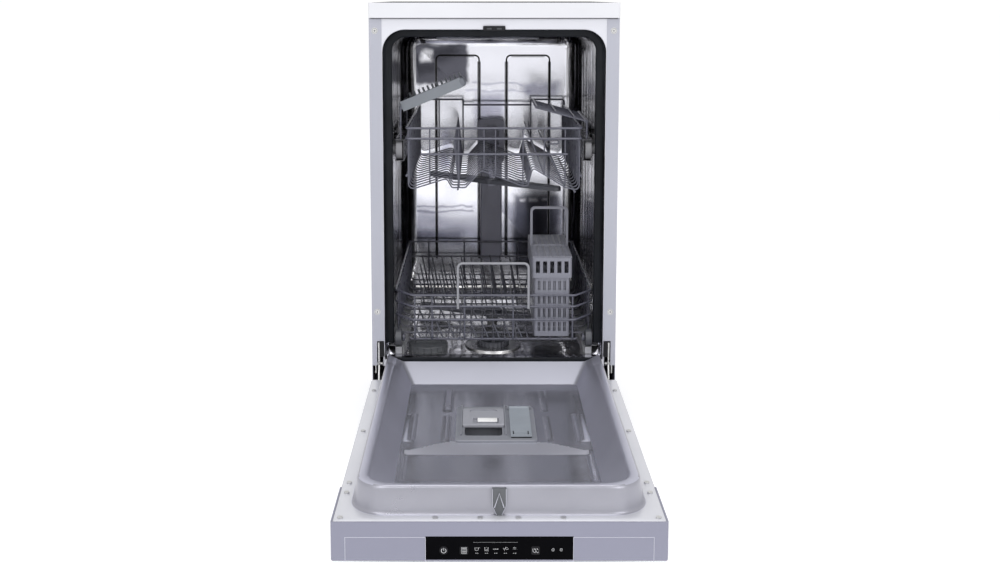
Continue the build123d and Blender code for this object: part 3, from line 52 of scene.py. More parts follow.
# ------------------------------------------------------------------ materials
def material(name, color, rough=0.4, metal=0.0, var=0.06, rough_var=0.06, bump=0.0, bump_scale=900.0,
             noise_scale=14.0, stretch=None, wave=0.0, wave_scale=6.0, coat=0.0, coat_rough=0.1, spec=0.5,
             speck=0.0, dirt=0.0):
    """A procedural finish: cloudy colour and roughness, a fine grain, and a slow unevenness of the surface."""
    m = bpy.data.materials.new(name)
    m.use_nodes = True
    nt = m.node_tree
    nt.nodes.clear()
    out = nt.nodes.new("ShaderNodeOutputMaterial")
    bs = nt.nodes.new("ShaderNodeBsdfPrincipled")
    nt.links.new(bs.outputs[0], out.inputs[0])
    tc = nt.nodes.new("ShaderNodeTexCoord")
    mp = nt.nodes.new("ShaderNodeMapping")
    nt.links.new(tc.outputs["Object"], mp.inputs[0])
    if stretch:
        mp.inputs["Scale"].default_value = stretch
    cloud = nt.nodes.new("ShaderNodeTexNoise")
    cloud.inputs["Scale"].default_value = noise_scale
    cloud.inputs["Detail"].default_value = 4.0
    nt.links.new(tc.outputs["Object"], cloud.inputs["Vector"])
    ramp = nt.nodes.new("ShaderNodeValToRGB")
    c = np.array(color[:3])
    lo = np.clip(c * (1 - var), 0, 1)
    hi = np.clip(c * (1 + var), 0, 1)
    ramp.color_ramp.elements[0].position = 0.32
    ramp.color_ramp.elements[0].color = (*lo, 1)
    ramp.color_ramp.elements[1].position = 0.68
    ramp.color_ramp.elements[1].color = (*hi, 1)
    nt.links.new(cloud.outputs["Fac"], ramp.inputs[0])
    last_color = ramp.outputs[0]
    grain = nt.nodes.new("ShaderNodeTexNoise")
    grain.inputs["Scale"].default_value = bump_scale
    grain.inputs["Detail"].default_value = 3.0
    nt.links.new(mp.outputs[0], grain.inputs["Vector"])
    if speck:
        mix = nt.nodes.new("ShaderNodeMixRGB")
        mix.blend_type = "MULTIPLY"
        mix.inputs[0].default_value = speck
        nt.links.new(last_color, mix.inputs[1])
        nt.links.new(grain.outputs["Fac"], mix.inputs[2])
        last_color = mix.outputs[0]
    nt.links.new(last_color, bs.inputs["Base Color"])
    rr = nt.nodes.new("ShaderNodeMapRange")
    rr.inputs["From Min"].default_value = 0.3
    rr.inputs["From Max"].default_value = 0.7
    rr.inputs["To Min"].default_value = max(0.02, rough - rough_var)
    rr.inputs["To Max"].default_value = min(1.0, rough + rough_var)
    patch = nt.nodes.new("ShaderNodeTexNoise")
    patch.inputs["Scale"].default_value = noise_scale * 2.3
    patch.inputs["Detail"].default_value = 5.0
    nt.links.new(mp.outputs[0] if stretch else tc.outputs["Object"], patch.inputs["Vector"])
    nt.links.new(patch.outputs["Fac"], rr.inputs["Value"])
    nt.links.new(rr.outputs[0], bs.inputs["Roughness"])
    bs.inputs["Metallic"].default_value = metal
    bs.inputs["Coat Weight"].default_value = coat
    bs.inputs["Coat Roughness"].default_value = coat_rough
    bs.inputs["Specular IOR Level"].default_value = spec
    normal = None
    if wave:
        slow = nt.nodes.new("ShaderNodeTexNoise")
        slow.inputs["Scale"].default_value = wave_scale
        slow.inputs["Detail"].default_value = 1.5
        nt.links.new(tc.outputs["Object"], slow.inputs["Vector"])
        b0 = nt.nodes.new("ShaderNodeBump")
        b0.inputs["Strength"].default_value = wave
        b0.inputs["Distance"].default_value = 0.02
        nt.links.new(slow.outputs["Fac"], b0.inputs["Height"])
        normal = b0.outputs[0]
    if bump:
        b1 = nt.nodes.new("ShaderNodeBump")
        b1.inputs["Strength"].default_value = bump
        b1.inputs["Distance"].default_value = 0.0004
        nt.links.new(grain.outputs["Fac"], b1.inputs["Height"])
        if normal:
            nt.links.new(normal, b1.inputs["Normal"])
        normal = b1.outputs[0]
    if normal:
        nt.links.new(normal, bs.inputs["Normal"])
    return m


M = {
    "tub": material("polished_steel", (0.60, 0.60, 0.61), rough=0.13, metal=1.0, var=0.04, rough_var=0.05, bump=0.05,
                    bump_scale=500, noise_scale=9, wave=0.10, wave_scale=7.0),
    "liner": material("liner_steel", (0.485, 0.488, 0.575), rough=0.33, metal=0.78, var=0.03, rough_var=0.05, bump=0.04,
                      bump_scale=150, noise_scale=6, wave=0.02, wave_scale=5.0),
    "steel": material("sheet_steel", (0.56, 0.56, 0.57), rough=0.3, metal=1.0, var=0.08, rough_var=0.08, bump=0.12,
                      bump_scale=700, noise_scale=20),
    "zinc": material("zinc_plate", (0.60, 0.60, 0.60), rough=0.34, metal=1.0, var=0.1, rough_var=0.1, bump=0.15,
                     bump_scale=900, noise_scale=60),
    "back": material("galvanised", (0.50, 0.51, 0.52), rough=0.42, metal=0.9, var=0.14, rough_var=0.1, bump=0.1,
                     bump_scale=500, noise_scale=26),
    "panel": material("silver_paint", (0.365, 0.372, 0.428), rough=0.36, metal=0.35, var=0.02, rough_var=0.05, bump=0.10,
                      bump_scale=1600, noise_scale=5, coat=0.25, coat_rough=0.25),
    "panel_dark": material("silver_paint_door", (0.36, 0.365, 0.42), rough=0.36, metal=0.35, var=0.02, rough_var=0.05,
                           bump=0.10, bump_scale=1600, noise_scale=5, coat=0.25, coat_rough=0.25),
    "fascia": material("silver_moulding", (0.225, 0.228, 0.295), rough=0.38, metal=0.25, var=0.02, rough_var=0.04,
                       bump=0.12, bump_scale=1500, noise_scale=6),
    "top_edge": material("pale_moulding", (0.60, 0.605, 0.64), rough=0.32, metal=0.1, var=0.02, rough_var=0.05,
                         bump=0.1, bump_scale=1300, noise_scale=6),
    # worktop top: near-black and without specular sheen, a painted shade that gives the thin dark line along the top
    # edge
    "top_board": material("laminate_painted_shade", (0.07, 0.072, 0.080), rough=0.6, var=0.03, rough_var=0.06, bump=0.2,
                          bump_scale=1100, noise_scale=9, spec=0.0),
    "gloss_black": material("gloss_black", (0.0018, 0.0018, 0.0025), rough=0.2, var=0.2, rough_var=0.05, bump=0.03,
                            bump_scale=1200, noise_scale=30, spec=0.02),
    "button": material("button_black", (0.010, 0.010, 0.012), rough=0.24, var=0.2, rough_var=0.05, bump=0.06,
                       bump_scale=2200, noise_scale=40, spec=0.12),
    "latch": material("latch_grey", (0.085, 0.09, 0.10), rough=0.45, var=0.08, rough_var=0.08, bump=0.25,
                      bump_scale=1800, noise_scale=30),
    "black": material("black_moulding", (0.010, 0.010, 0.012), spec=0.2, rough=0.5, var=0.15, rough_var=0.1, bump=0.3,
                      bump_scale=1500, noise_scale=25),
    "rubber": material("gasket_rubber", (0.0065, 0.008, 0.011), spec=0.18, rough=0.5, var=0.2, rough_var=0.1, bump=0.35,
                       bump_scale=1200, noise_scale=20),
    "pump": material("pump_grey", (0.13, 0.13, 0.14), rough=0.5, var=0.1, rough_var=0.1, bump=0.3, bump_scale=1400,
                     noise_scale=22),
    "hose": material("hose_rubber", (0.05, 0.05, 0.052), rough=0.6, var=0.12, rough_var=0.1, bump=0.3,
                     bump_scale=1400, noise_scale=22),
    "white": material("white_moulding", (0.62, 0.62, 0.61), rough=0.4, var=0.04, rough_var=0.08, bump=0.2,
                      bump_scale=1500, noise_scale=18),
    "button_white": material("white_key", (0.80, 0.80, 0.80), rough=0.3, var=0.02, rough_var=0.05, bump=0.1,
                             bump_scale=1500, noise_scale=18),
    "disp": material("dispenser_grey", (0.20, 0.207, 0.235), rough=0.4, var=0.04, rough_var=0.07, bump=0.25,
                     bump_scale=1700, noise_scale=20),
    "disp_lid": material("dispenser_lid_grey", (0.29, 0.295, 0.33), rough=0.36, var=0.03, rough_var=0.06, bump=0.2,
                         bump_scale=1700, noise_scale=20),
    "disp_flap": material("dispenser_flap_grey", (0.25, 0.275, 0.31), rough=0.4, var=0.04, rough_var=0.07, bump=0.25,
                          bump_scale=1700, noise_scale=20),
    "wire": material("coated_wire", (0.088, 0.09, 0.118), rough=0.3, var=0.06, rough_var=0.06, bump=0.08,
                     bump_scale=1500, noise_scale=30, coat=0.2, coat_rough=0.2),
    "wire_dark": material("coated_wire_tines", (0.075, 0.078, 0.098), rough=0.3, var=0.06, rough_var=0.06, bump=0.08,
                          bump_scale=1500, noise_scale=30, coat=0.2, coat_rough=0.2),
    "handle": material("handle_grey", (0.25, 0.255, 0.28), rough=0.32, var=0.03, rough_var=0.05, bump=0.1,
                       bump_scale=1500, noise_scale=20),
    "wheel": material("wheel_grey", (0.20, 0.20, 0.215), rough=0.42, var=0.05, rough_var=0.08, bump=0.25,
                      bump_scale=1500, noise_scale=24),
    "arm": material("spray_grey", (0.085, 0.088, 0.105), rough=0.38, var=0.08, rough_var=0.08, bump=0.2,
                    bump_scale=1500, noise_scale=20),
    "pipe": material("pipe_grey", (0.265, 0.265, 0.335), rough=0.42, var=0.06, rough_var=0.08, bump=0.25,
                     bump_scale=1500, noise_scale=16),
    "shelf": material("shelf_grey", (0.17, 0.185, 0.21), rough=0.38, var=0.03, rough_var=0.06, bump=0.2,
                      bump_scale=1500, noise_scale=18),
    "basket": material("basket_grey", (0.185, 0.188, 0.225), rough=0.38, var=0.04, rough_var=0.06, bump=0.2,
                       bump_scale=1500, noise_scale=18),
    "stone": material("cast_concrete", (0.30, 0.29, 0.27), rough=0.85, var=0.2, rough_var=0.1, bump=0.8,
                      bump_scale=300, noise_scale=30, speck=0.35),
    "trim": material("trim_silver", (0.52, 0.525, 0.60), rough=0.35, metal=0.2, var=0.03, rough_var=0.06, bump=0.1,
                     bump_scale=1500, noise_scale=12),
    "shelf_end": material("shelf_end_grey", (0.13, 0.14, 0.165), rough=0.4, var=0.05, rough_var=0.07, bump=0.2,
                          bump_scale=1500, noise_scale=18),
    "rail": material("rail_steel", (0.10, 0.10, 0.11), rough=0.25, metal=1.0, var=0.15, rough_var=0.08, bump=0.1,
                     bump_scale=700, noise_scale=20),
    "track": material("track_grey", (0.42, 0.425, 0.45), rough=0.4, metal=0.3, var=0.05, rough_var=0.08, bump=0.15,
                      bump_scale=1200, noise_scale=20),
    "wheel_dark": material("wheel_dark_grey", (0.075, 0.078, 0.09), rough=0.42, var=0.08, rough_var=0.08, bump=0.25,
                           bump_scale=1500, noise_scale=24),
    # liner flange: a lighter, less metallic copy of the liner steel, painted light
    "liner_flange": material("liner_flange_painted_light", (0.62, 0.625, 0.67), rough=0.34, metal=0.5, var=0.03,
                             rough_var=0.05, bump=0.05, bump_scale=900, noise_scale=6),
    "spring": material("spring_steel", (0.42, 0.42, 0.42), rough=0.35, metal=1.0, var=0.1, rough_var=0.1, bump=0.2,
                       bump_scale=900, noise_scale=60),
    "icon": material("icon_white", (0.62, 0.63, 0.65), rough=0.5, var=0.02, rough_var=0.05, bump=0.05,
                     bump_scale=1500, noise_scale=40),
}

NODE_MATERIAL = {
    "worktop_board": "top_board", "worktop_frame": "top_edge", "left_side_panel": "panel",
    "right_side_panel": "panel", "back_panel": "back", "base_tray": "black", "plinth_panel": "black",
    "front_foot_left": "black", "front_foot_right": "black", "rear_feet": "black", "tub": "tub",
    "tub_gasket": "rubber", "side_panel_screws": "zinc", "door_striker": "black", "hinge_brackets": "zinc",
    "hinge_covers": "black", "hinge_arms": "zinc", "hinge_springs": "spring", "sump": "pump",
    "circulation_pump": "pump", "drain_pump": "pump", "water_softener": "white", "inlet_valve": "white",
    "internal_hoses": "hose", "counterweight": "stone", "riser_duct": "pipe", "wheel_axles": "wheel",
    "rack_tracks": "track", "fine_filter": "steel", "coarse_filter": "arm", "salt_cap": "latch",
    "door_outer_panel": "panel_dark", "control_fascia": "fascia", "display_window": "gloss_black",
    "power_button": "button", "programme_button": "button", "half_load_button": "button",
    "inner_liner": "liner", "door_screws": "zinc", "door_latch": "latch", "dispenser_housing": "disp",
    "detergent_lid": "disp_lid", "rinse_aid_flap": "disp_flap", "upper_rack": "wire", "upper_rails": "rail",
    "upper_feed_pipe": "pipe", "upper_spray_arm": "arm", "lower_spray_arm": "arm", "left_cup_shelf": "shelf",
    "right_cup_shelf": "wire", "rail_wheels_front": "wheel", "rail_wheels_rear": "wheel", "lower_rack": "wire",
    "lower_rack_tines": "wire_dark", "lower_rack_handle": "handle", "lower_wheels_front": "wheel_dark",
    "lower_wheels_rear": "wheel_dark", "cutlery_basket": "basket", "basket_lid_front": "basket",
    "basket_lid_rear": "basket",
}
for name, o in nodes.items():
    o.data.materials.clear()
    o.data.materials.append(M[NODE_MATERIAL[name]])


# --------------------------------------------------------------- mesh helpers
def make(name, verts, faces, mat, body, slot=None, replaces=(), smooth=True, sharp=35.0):
    me = bpy.data.meshes.new(name)
    me.from_pydata([tuple(map(float, v)) for v in verts], [], [tuple(map(int, f)) for f in faces])
    me.validate()
    o = bpy.data.objects.new(name, me)
    bpy.context.scene.collection.objects.link(o)
    me.materials.append(M[mat] if isinstance(mat, str) else mat)
    if smooth:
        me.polygons.foreach_set("use_smooth", [True] * len(me.polygons))
        if sharp:
            bpy.context.view_layer.objects.active = o
            me.set_sharp_from_angle(angle=math.radians(sharp))
    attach(o, body)
    if replaces:
        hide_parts(*replaces)
    return o


def fix_normals(o):
    bm = bmesh.new()
    bm.from_mesh(o.data)
    bmesh.ops.recalc_face_normals(bm, faces=bm.faces)
    bm.to_mesh(o.data)
    bm.free()


class Mesh:
    """Collects several closed or open shapes into one piece."""

    def __init__(self):
        self.v, self.f = [], []

    def add(self, verts, faces):
        n = len(self.v)
        self.v.extend(verts)
        self.f.extend([tuple(i + n for i in f) for f in faces])

    def tube(self, points, r, sides=8, closed=False, flat=1.0):
        """Round bar along a line of points in millimetres."""
        p = np.array(points, float)
        keep = [0]
        for i in range(1, len(p)):
            if np.linalg.norm(p[i] - p[keep[-1]]) > 1e-6:
                keep.append(i)
        p = p[keep]
        n = len(p)
        if closed:
            t = np.roll(p, -1, 0) - np.roll(p, 1, 0)
        else:
            t = np.gradient(p, axis=0)
        t /= np.linalg.norm(t, axis=1)[:, None]
        up = np.array([0, 0, 1.0]) if abs(t[0][2]) < 0.9 else np.array([0, 1.0, 0])
        u = np.cross(t[0], up)
        u /= np.linalg.norm(u)
        rings = []
        for i in range(n):
            u = u - t[i] * (u @ t[i])
            u /= np.linalg.norm(u)
            w = np.cross(t[i], u)
            a = np.arange(sides) * 2 * math.pi / sides
            rings.append(p[i] + r * (np.cos(a)[:, None] * u + flat * np.sin(a)[:, None] * w))
        verts = [P(*q) for ring in rings for q in ring]
        faces = []
        for i in range(n - 1 + (1 if closed else 0)):
            i2 = (i + 1) % n
            for k in range(sides):
                k2 = (k + 1) % sides
                faces.append((i * sides + k, i * sides + k2, i2 * sides + k2, i2 * sides + k))
        if not closed:
            faces.append(tuple(range(sides))[::-1])
            faces.append(tuple((n - 1) * sides + k for k in range(sides)))
        self.add(verts, faces)

    def loft(self, rings, closed=True, caps=True):
        """Skin between rings of points (millimetres), all with the same count."""
        n, m = len(rings), len(rings[0])
        verts = [P(*q) for ring in rings for q in ring]
        faces = []
        for i in range(n - 1):
            for k in range(m if closed else m - 1):
                k2 = (k + 1) % m
                faces.append((i * m + k, i * m + k2, (i + 1) * m + k2, (i + 1) * m + k))
        if caps and closed:
            faces.append(tuple(range(m))[::-1])
            faces.append(tuple((n - 1) * m + k for k in range(m)))
        self.add(verts, faces)

    def block(self, lo, hi, r=0.6):
        """Box with eased edges."""
        (x0, y0, z0), (x1, y1, z1) = lo, hi
        r = min(r, (x1 - x0) / 2.01, (y1 - y0) / 2.01, (z1 - z0) / 2.01)

        def ring(z, inset):
            pts = []
            a = r
            i = inset
            for cx, cy, s in ((x1 - a, y1 - a, 0), (x0 + a, y1 - a, 90), (x0 + a, y0 + a, 180), (x1 - a, y0 + a, 270)):
                for k in range(4):
                    t = math.radians(s + k * 30)
                    pts.append((cx + (a - i) * math.cos(t), cy + (a - i) * math.sin(t), z))
            return pts

        self.loft([ring(z0, r * 0.9), ring(z0 + r * 0.3, r * 0.3), ring(z0 + r, 0), ring(z1 - r, 0),
                   ring(z1 - r * 0.3, r * 0.3), ring(z1, r * 0.9)])

    def make(self, name, mat, body, **kw):
        o = make(name, self.v, self.f, mat, body, **kw)
        return o


def bend(points, radius, n=5):
    """A run through the points with its corners rounded, as bent wire is."""
    p = [np.array(q, float) for q in points]
    out = [p[0]]
    for i in range(1, len(p) - 1):
        r = radius[i - 1] if hasattr(radius, "__len__") else radius
        a, b = p[i - 1] - p[i], p[i + 1] - p[i]
        la, lb = np.linalg.norm(a), np.linalg.norm(b)
        a, b = a / la, b / lb
        ang = math.acos(max(-1, min(1, a @ b)))
        if ang > math.pi - 1e-3 or r <= 0:
            out.append(p[i])
            continue
        t = min(r / math.tan(ang / 2), la * 0.49, lb * 0.49)
        r = t * math.tan(ang / 2)
        c = p[i] + (a + b) / np.linalg.norm(a + b) * (r / math.sin(ang / 2))
        s, e = p[i] + a * t - c, p[i] + b * t - c
        tot = math.acos(max(-1, min(1, (s @ e) / (np.linalg.norm(s) * np.linalg.norm(e)))))
        for k in range(n + 1):
            w = k / n
            q = (math.sin((1 - w) * tot) * s + math.sin(w * tot) * e) / math.sin(tot)
            out.append(c + q)
    out.append(p[-1])
    return out


def loop(a0, a1, b0, b1, r00, r10, r11, r01, n1, n2, nc):
    """Rounded rectangle from (a0, b0) to (a1, b1); the same points on every ring, so that rings can be skinned.
    Order: low side, a1 side, high side, a0 side.  Corner radii at (a0,b0), (a1,b0), (a1,b1), (a0,b1)."""
    pts = []

    def side(p, q, n):
        for k in range(n):
            t = k / n
            pts.append((p[0] + (q[0] - p[0]) * t, p[1] + (q[1] - p[1]) * t))

    def corner(cx, cy, r, s):
        for k in range(nc):
            t = math.radians(s + 90 * k / nc)
            pts.append((cx + r * math.cos(t), cy + r * math.sin(t)))

    side((a0 + r00, b0), (a1 - r10, b0), n1)
    corner(a1 - r10, b0 + r10, r10, 270)
    side((a1, b0 + r10), (a1, b1 - r11), n2)
    corner(a1 - r11, b1 - r11, r11, 0)
    side((a1 - r11, b1), (a0 + r01, b1), n1)
    corner(a0 + r01, b1 - r01, r01, 90)
    side((a0, b1 - r01), (a0, b0 + r00), n2)
    corner(a0 + r00, b0 + r00, r00, 180)
    return pts


def smooth01(t):
    t = np.clip(t, 0, 1)
    return t * t * (3 - 2 * t)


def bevel(node, width=0.0006, angle=40):
    """Eases the edges of a CAD part, which a modifier may do."""
    b = nodes[node].modifiers.new("ease", "BEVEL")
    b.width = width
    b.segments = 2
    b.limit_method = "ANGLE"
    b.angle_limit = math.radians(angle)


# ------------------------------------------------------------- painted reflections drawn along one direction
def painted_reflection_streaks(name, stops, scale=(0.5, 42.0, 1.6), rough=0.16, metal=1.0, extra=0.35, wave=0.0):
    """Reflecting sheet with painted reflections: its colour runs in long bright and dark streaks, standing in for what
    pressed ribs reflect.
    """
    m = bpy.data.materials.new(name)
    m.use_nodes = True
    nt = m.node_tree
    nt.nodes.clear()
    out = nt.nodes.new("ShaderNodeOutputMaterial")
    bs = nt.nodes.new("ShaderNodeBsdfPrincipled")
    nt.links.new(bs.outputs[0], out.inputs[0])
    tc = nt.nodes.new("ShaderNodeTexCoord")
    mp = nt.nodes.new("ShaderNodeMapping")
    mp.inputs["Scale"].default_value = scale
    nt.links.new(tc.outputs["Object"], mp.inputs[0])
    n1 = nt.nodes.new("ShaderNodeTexNoise")
    n1.inputs["Scale"].default_value = 1.0
    n1.inputs["Detail"].default_value = 3.5
    n1.inputs["Roughness"].default_value = 0.6
    n1.inputs["Distortion"].default_value = extra
    nt.links.new(mp.outputs[0], n1.inputs["Vector"])
    ramp = nt.nodes.new("ShaderNodeValToRGB")
    ramp.color_ramp.elements[0].position = stops[0][0]
    ramp.color_ramp.elements[0].color = (*stops[0][1], 1)
    ramp.color_ramp.elements[1].position = stops[-1][0]
    ramp.color_ramp.elements[1].color = (*stops[-1][1], 1)
    for pos, col in stops[1:-1]:
        e = ramp.color_ramp.elements.new(pos)
        e.color = (*col, 1)
    nt.links.new(n1.outputs["Fac"], ramp.inputs[0])
    nt.links.new(ramp.outputs[0], bs.inputs["Base Color"])
    n2 = nt.nodes.new("ShaderNodeTexNoise")
    n2.inputs["Scale"].default_value = 30.0
    n2.inputs["Detail"].default_value = 4.0
    nt.links.new(tc.outputs["Object"], n2.inputs["Vector"])
    rr = nt.nodes.new("ShaderNodeMapRange")
    rr.inputs["From Min"].default_value = 0.3
    rr.inputs["From Max"].default_value = 0.7
    rr.inputs["To Min"].default_value = max(0.03, rough - 0.07)
    rr.inputs["To Max"].default_value = rough + 0.07
    nt.links.new(n2.outputs["Fac"], rr.inputs["Value"])
    nt.links.new(rr.outputs[0], bs.inputs["Roughness"])
    bs.inputs["Metallic"].default_value = metal
    b = nt.nodes.new("ShaderNodeBump")
    b.inputs["Strength"].default_value = 0.25
    b.inputs["Distance"].default_value = 0.002
    nt.links.new(n1.outputs["Fac"], b.inputs["Height"])
    if wave:
        n3 = nt.nodes.new("ShaderNodeTexNoise")
        n3.inputs["Scale"].default_value = wave
        nt.links.new(tc.outputs["Object"], n3.inputs["Vector"])
        b2 = nt.nodes.new("ShaderNodeBump")
        b2.inputs["Strength"].default_value = 0.15
        b2.inputs["Distance"].default_value = 0.02
        nt.links.new(n3.outputs["Fac"], b2.inputs["Height"])
        nt.links.new(b.outputs[0], b2.inputs["Normal"])
        nt.links.new(b2.outputs[0], bs.inputs["Normal"])
    else:
        nt.links.new(b.outputs[0], bs.inputs["Normal"])
    return m


# The tub's side walls, rear corners and roof carry painted reflections: dark steel with narrow bright streaks.
DARK_REFLECTION = (0.012, 0.011, 0.010)
M["tub_side"] = painted_reflection_streaks("tub_side_painted_reflections", [
    (0.30, (0.02, 0.018, 0.016)), (0.40, DARK_REFLECTION), (0.445, (0.06, 0.055, 0.05)), (0.465, (0.50, 0.49, 0.49)),
    (0.485, (0.05, 0.045, 0.04)), (0.52, (0.02, 0.018, 0.016)), (0.55, (0.07, 0.065, 0.06)), (0.58, (0.72, 0.71, 0.74)),
    (0.605, (0.08, 0.075, 0.07)), (0.70, (0.04, 0.037, 0.034))])
M["tub_corner"] = painted_reflection_streaks("tub_corner_painted_reflections", [
    (0.30, (0.05, 0.05, 0.05)), (0.42, (0.20, 0.20, 0.21)), (0.47, (0.80, 0.80, 0.85)), (0.52, (0.25, 0.25, 0.26)),
    (0.58, DARK_REFLECTION), (0.66, (0.55, 0.55, 0.58))], scale=(46.0, 46.0, 1.2))
M["tub_roof"] = painted_reflection_streaks("tub_roof_painted_reflections", [
    (0.30, (0.035, 0.035, 0.04)), (0.44, (0.14, 0.14, 0.155)), (0.52, (0.68, 0.68, 0.74)), (0.60, (0.23, 0.23, 0.255)),
    (0.70, (0.5, 0.5, 0.52))], scale=(2.2, 7.0, 3.0))
# Copies of the liner steel in other tones for regions of the pressed liner: the far slope and the rim top darker
# (painted shade), the step band lighter (painted highlight), the floor lighter (painted light).
M["liner_far"] = material("liner_far_painted_shade", (0.40, 0.404, 0.462), rough=0.34, metal=0.72, var=0.02, rough_var=0.05,
                          bump=0.04, bump_scale=150, noise_scale=6)
M["liner_step"] = material("liner_step_painted_highlight", (0.60, 0.605, 0.68), rough=0.34, metal=0.72, var=0.02, rough_var=0.05,
                           bump=0.04, bump_scale=150, noise_scale=6)
M["liner_floor"] = material("liner_floor_painted_light", (0.53, 0.535, 0.605), rough=0.20, metal=0.86, var=0.04, rough_var=0.05,
                            bump=0.04, bump_scale=120, noise_scale=8, wave=0.03, wave_scale=7.0)
M["liner_rim"] = material("liner_rim_painted_shade", (0.325, 0.325, 0.37), rough=0.33, metal=0.8, var=0.05, rough_var=0.06,
                          bump=0.04, bump_scale=150, noise_scale=9, wave=0.02, wave_scale=9.0)
# tub_back and tub_floor are the polished steel lightened to near-white, painted light; tub_back also gets painted
# reflection patches below.
M["tub_back"] = material("tub_back_painted_light", (0.83, 0.835, 0.905), rough=0.15, metal=1.0, var=0.03, rough_var=0.04,
                         bump=0.03, bump_scale=500, noise_scale=7, wave=0.05, wave_scale=9.0)
M["tub_floor"] = material("tub_floor_painted_light", (0.95, 0.94, 0.93), rough=0.16, metal=1.0, var=0.10, rough_var=0.06,
                          bump=0.05, bump_scale=500, noise_scale=8, wave=0.25, wave_scale=16.0)
# tub_flange: a pale, half-metallic copy of the tub steel, painted light on the front flange and a painted highlight on
# the roof bead.
M["tub_flange"] = material("tub_flange_painted_light", (0.61, 0.615, 0.665), rough=0.36, metal=0.45, var=0.015, rough_var=0.05,
                           bump=0.06, bump_scale=600, noise_scale=6)
# bead_dark and bead_grey: painted shade for the back wall's pressed beads, near-black along them and grey along their
# edges.
M["bead_dark"] = material("bead_shadow_steel", (0.006, 0.006, 0.006), rough=0.3, metal=0.0, spec=0.1, var=0.2, rough_var=0.06,
                          bump=0.05, bump_scale=500, noise_scale=30)
M["bead_grey"] = material("bead_edge_painted_shade", (0.22, 0.22, 0.24), rough=0.18, metal=1.0, var=0.25, rough_var=0.06,
                          bump=0.05, bump_scale=500, noise_scale=30)


def painted_reflection_patches(m, patches, grain=0.010):
    """Painted reflections on a wall: soft-edged darker and lighter fields, by X and Z of the object: (x0, x1, z0, z1,
    soft, factor).
    """
    nt = m.node_tree
    bs = next(n for n in nt.nodes if n.bl_idname == "ShaderNodeBsdfPrincipled")
    last = bs.inputs["Base Color"].links[0].from_socket
    tc = nt.nodes.new("ShaderNodeTexCoord")
    warp = nt.nodes.new("ShaderNodeTexNoise")
    warp.inputs["Scale"].default_value = 26.0
    warp.inputs["Detail"].default_value = 2.0
    nt.links.new(tc.outputs["Object"], warp.inputs["Vector"])
    shift = nt.nodes.new("ShaderNodeMapRange")
    shift.inputs["To Min"].default_value = -grain
    shift.inputs["To Max"].default_value = grain
    nt.links.new(warp.outputs["Fac"], shift.inputs["Value"])
    xyz = nt.nodes.new("ShaderNodeSeparateXYZ")
    nt.links.new(tc.outputs["Object"], xyz.inputs[0])
    axes = {}
    for axis in ("X", "Z"):
        total = nt.nodes.new("ShaderNodeMath")
        total.operation = "ADD"
        nt.links.new(xyz.outputs[axis], total.inputs[0])
        nt.links.new(shift.outputs[0], total.inputs[1])
        axes[axis] = total.outputs[0]
    for x0, x1, z0, z1, soft, factor in patches:
        mask = None
        for axis, a, b in (("X", x0, x1), ("Z", z0, z1)):
            for edge, up in ((a, True), (b, False)):
                r = nt.nodes.new("ShaderNodeMapRange")
                r.interpolation_type = "SMOOTHSTEP"
                r.inputs["From Min"].default_value = edge - soft
                r.inputs["From Max"].default_value = edge + soft
                r.inputs["To Min"].default_value = 0.0 if up else 1.0
                r.inputs["To Max"].default_value = 1.0 if up else 0.0
                nt.links.new(axes[axis], r.inputs["Value"])
                if mask is None:
                    mask = r.outputs[0]
                else:
                    mul = nt.nodes.new("ShaderNodeMath")
                    mul.operation = "MULTIPLY"
                    nt.links.new(mask, mul.inputs[0])
                    nt.links.new(r.outputs[0], mul.inputs[1])
                    mask = mul.outputs[0]
        mix = nt.nodes.new("ShaderNodeMixRGB")
        mix.blend_type = "MULTIPLY" if factor < 1 else "MIX"
        mix.inputs[2].default_value = (factor, factor, factor * 1.12, 1) if factor < 1 else (0.92, 0.92, 0.98, 1)
        nt.links.new(mask, mix.inputs[0])
        nt.links.new(last, mix.inputs[1])
        last = mix.outputs[0]
    nt.links.new(last, bs.inputs["Base Color"])


# painted reflections on the back wall: dark patches, light spots and thin darker lines
painted_reflection_patches(M["tub_back"], [
    (-0.176, -0.052, 0.662, 0.752, 0.006, 0.13), (-0.153, -0.128, 0.716, 0.738, 0.007, 2.0),
    (0.050, 0.154, 0.236, 0.412, 0.010, 0.24), (0.066, 0.078, 0.396, 0.402, 0.004, 2.0),
    (0.086, 0.106, 0.395, 0.403, 0.004, 2.0), (0.114, 0.128, 0.396, 0.402, 0.004, 2.0),
    (-0.185, -0.060, 0.300, 0.330, 0.012, 0.45), (-0.175, -0.040, 0.372, 0.376, 0.003, 0.45),
    (-0.175, -0.040, 0.384, 0.388, 0.003, 0.45), (-0.036, 0.028, 0.560, 0.640, 0.012, 0.55),
    (-0.115, -0.090, 0.470, 0.560, 0.012, 0.6), (0.072, 0.150, 0.632, 0.666, 0.012, 0.42),
    (-0.046, 0.074, 0.661, 0.6645, 0.003, 0.62), (-0.060, 0.090, 0.644, 0.647, 0.003, 0.66)])


def more_materials(o, mats, pick):
    """Gives the faces of a pressed sheet other tones of its steel by where they lie (local millimetres); these tones
    paint light, shade and reflections.
    """
    for k in mats:
        o.data.materials.append(M[k])
    me = o.data
    n = len(me.polygons)
    c = np.zeros(n * 3)
    me.polygons.foreach_get("center", c)
    c = c.reshape(-1, 3) * 1000 - np.array([0, YF * 1000, 0])
    me.polygons.foreach_set("material_index", [int(pick(*q)) for q in c])


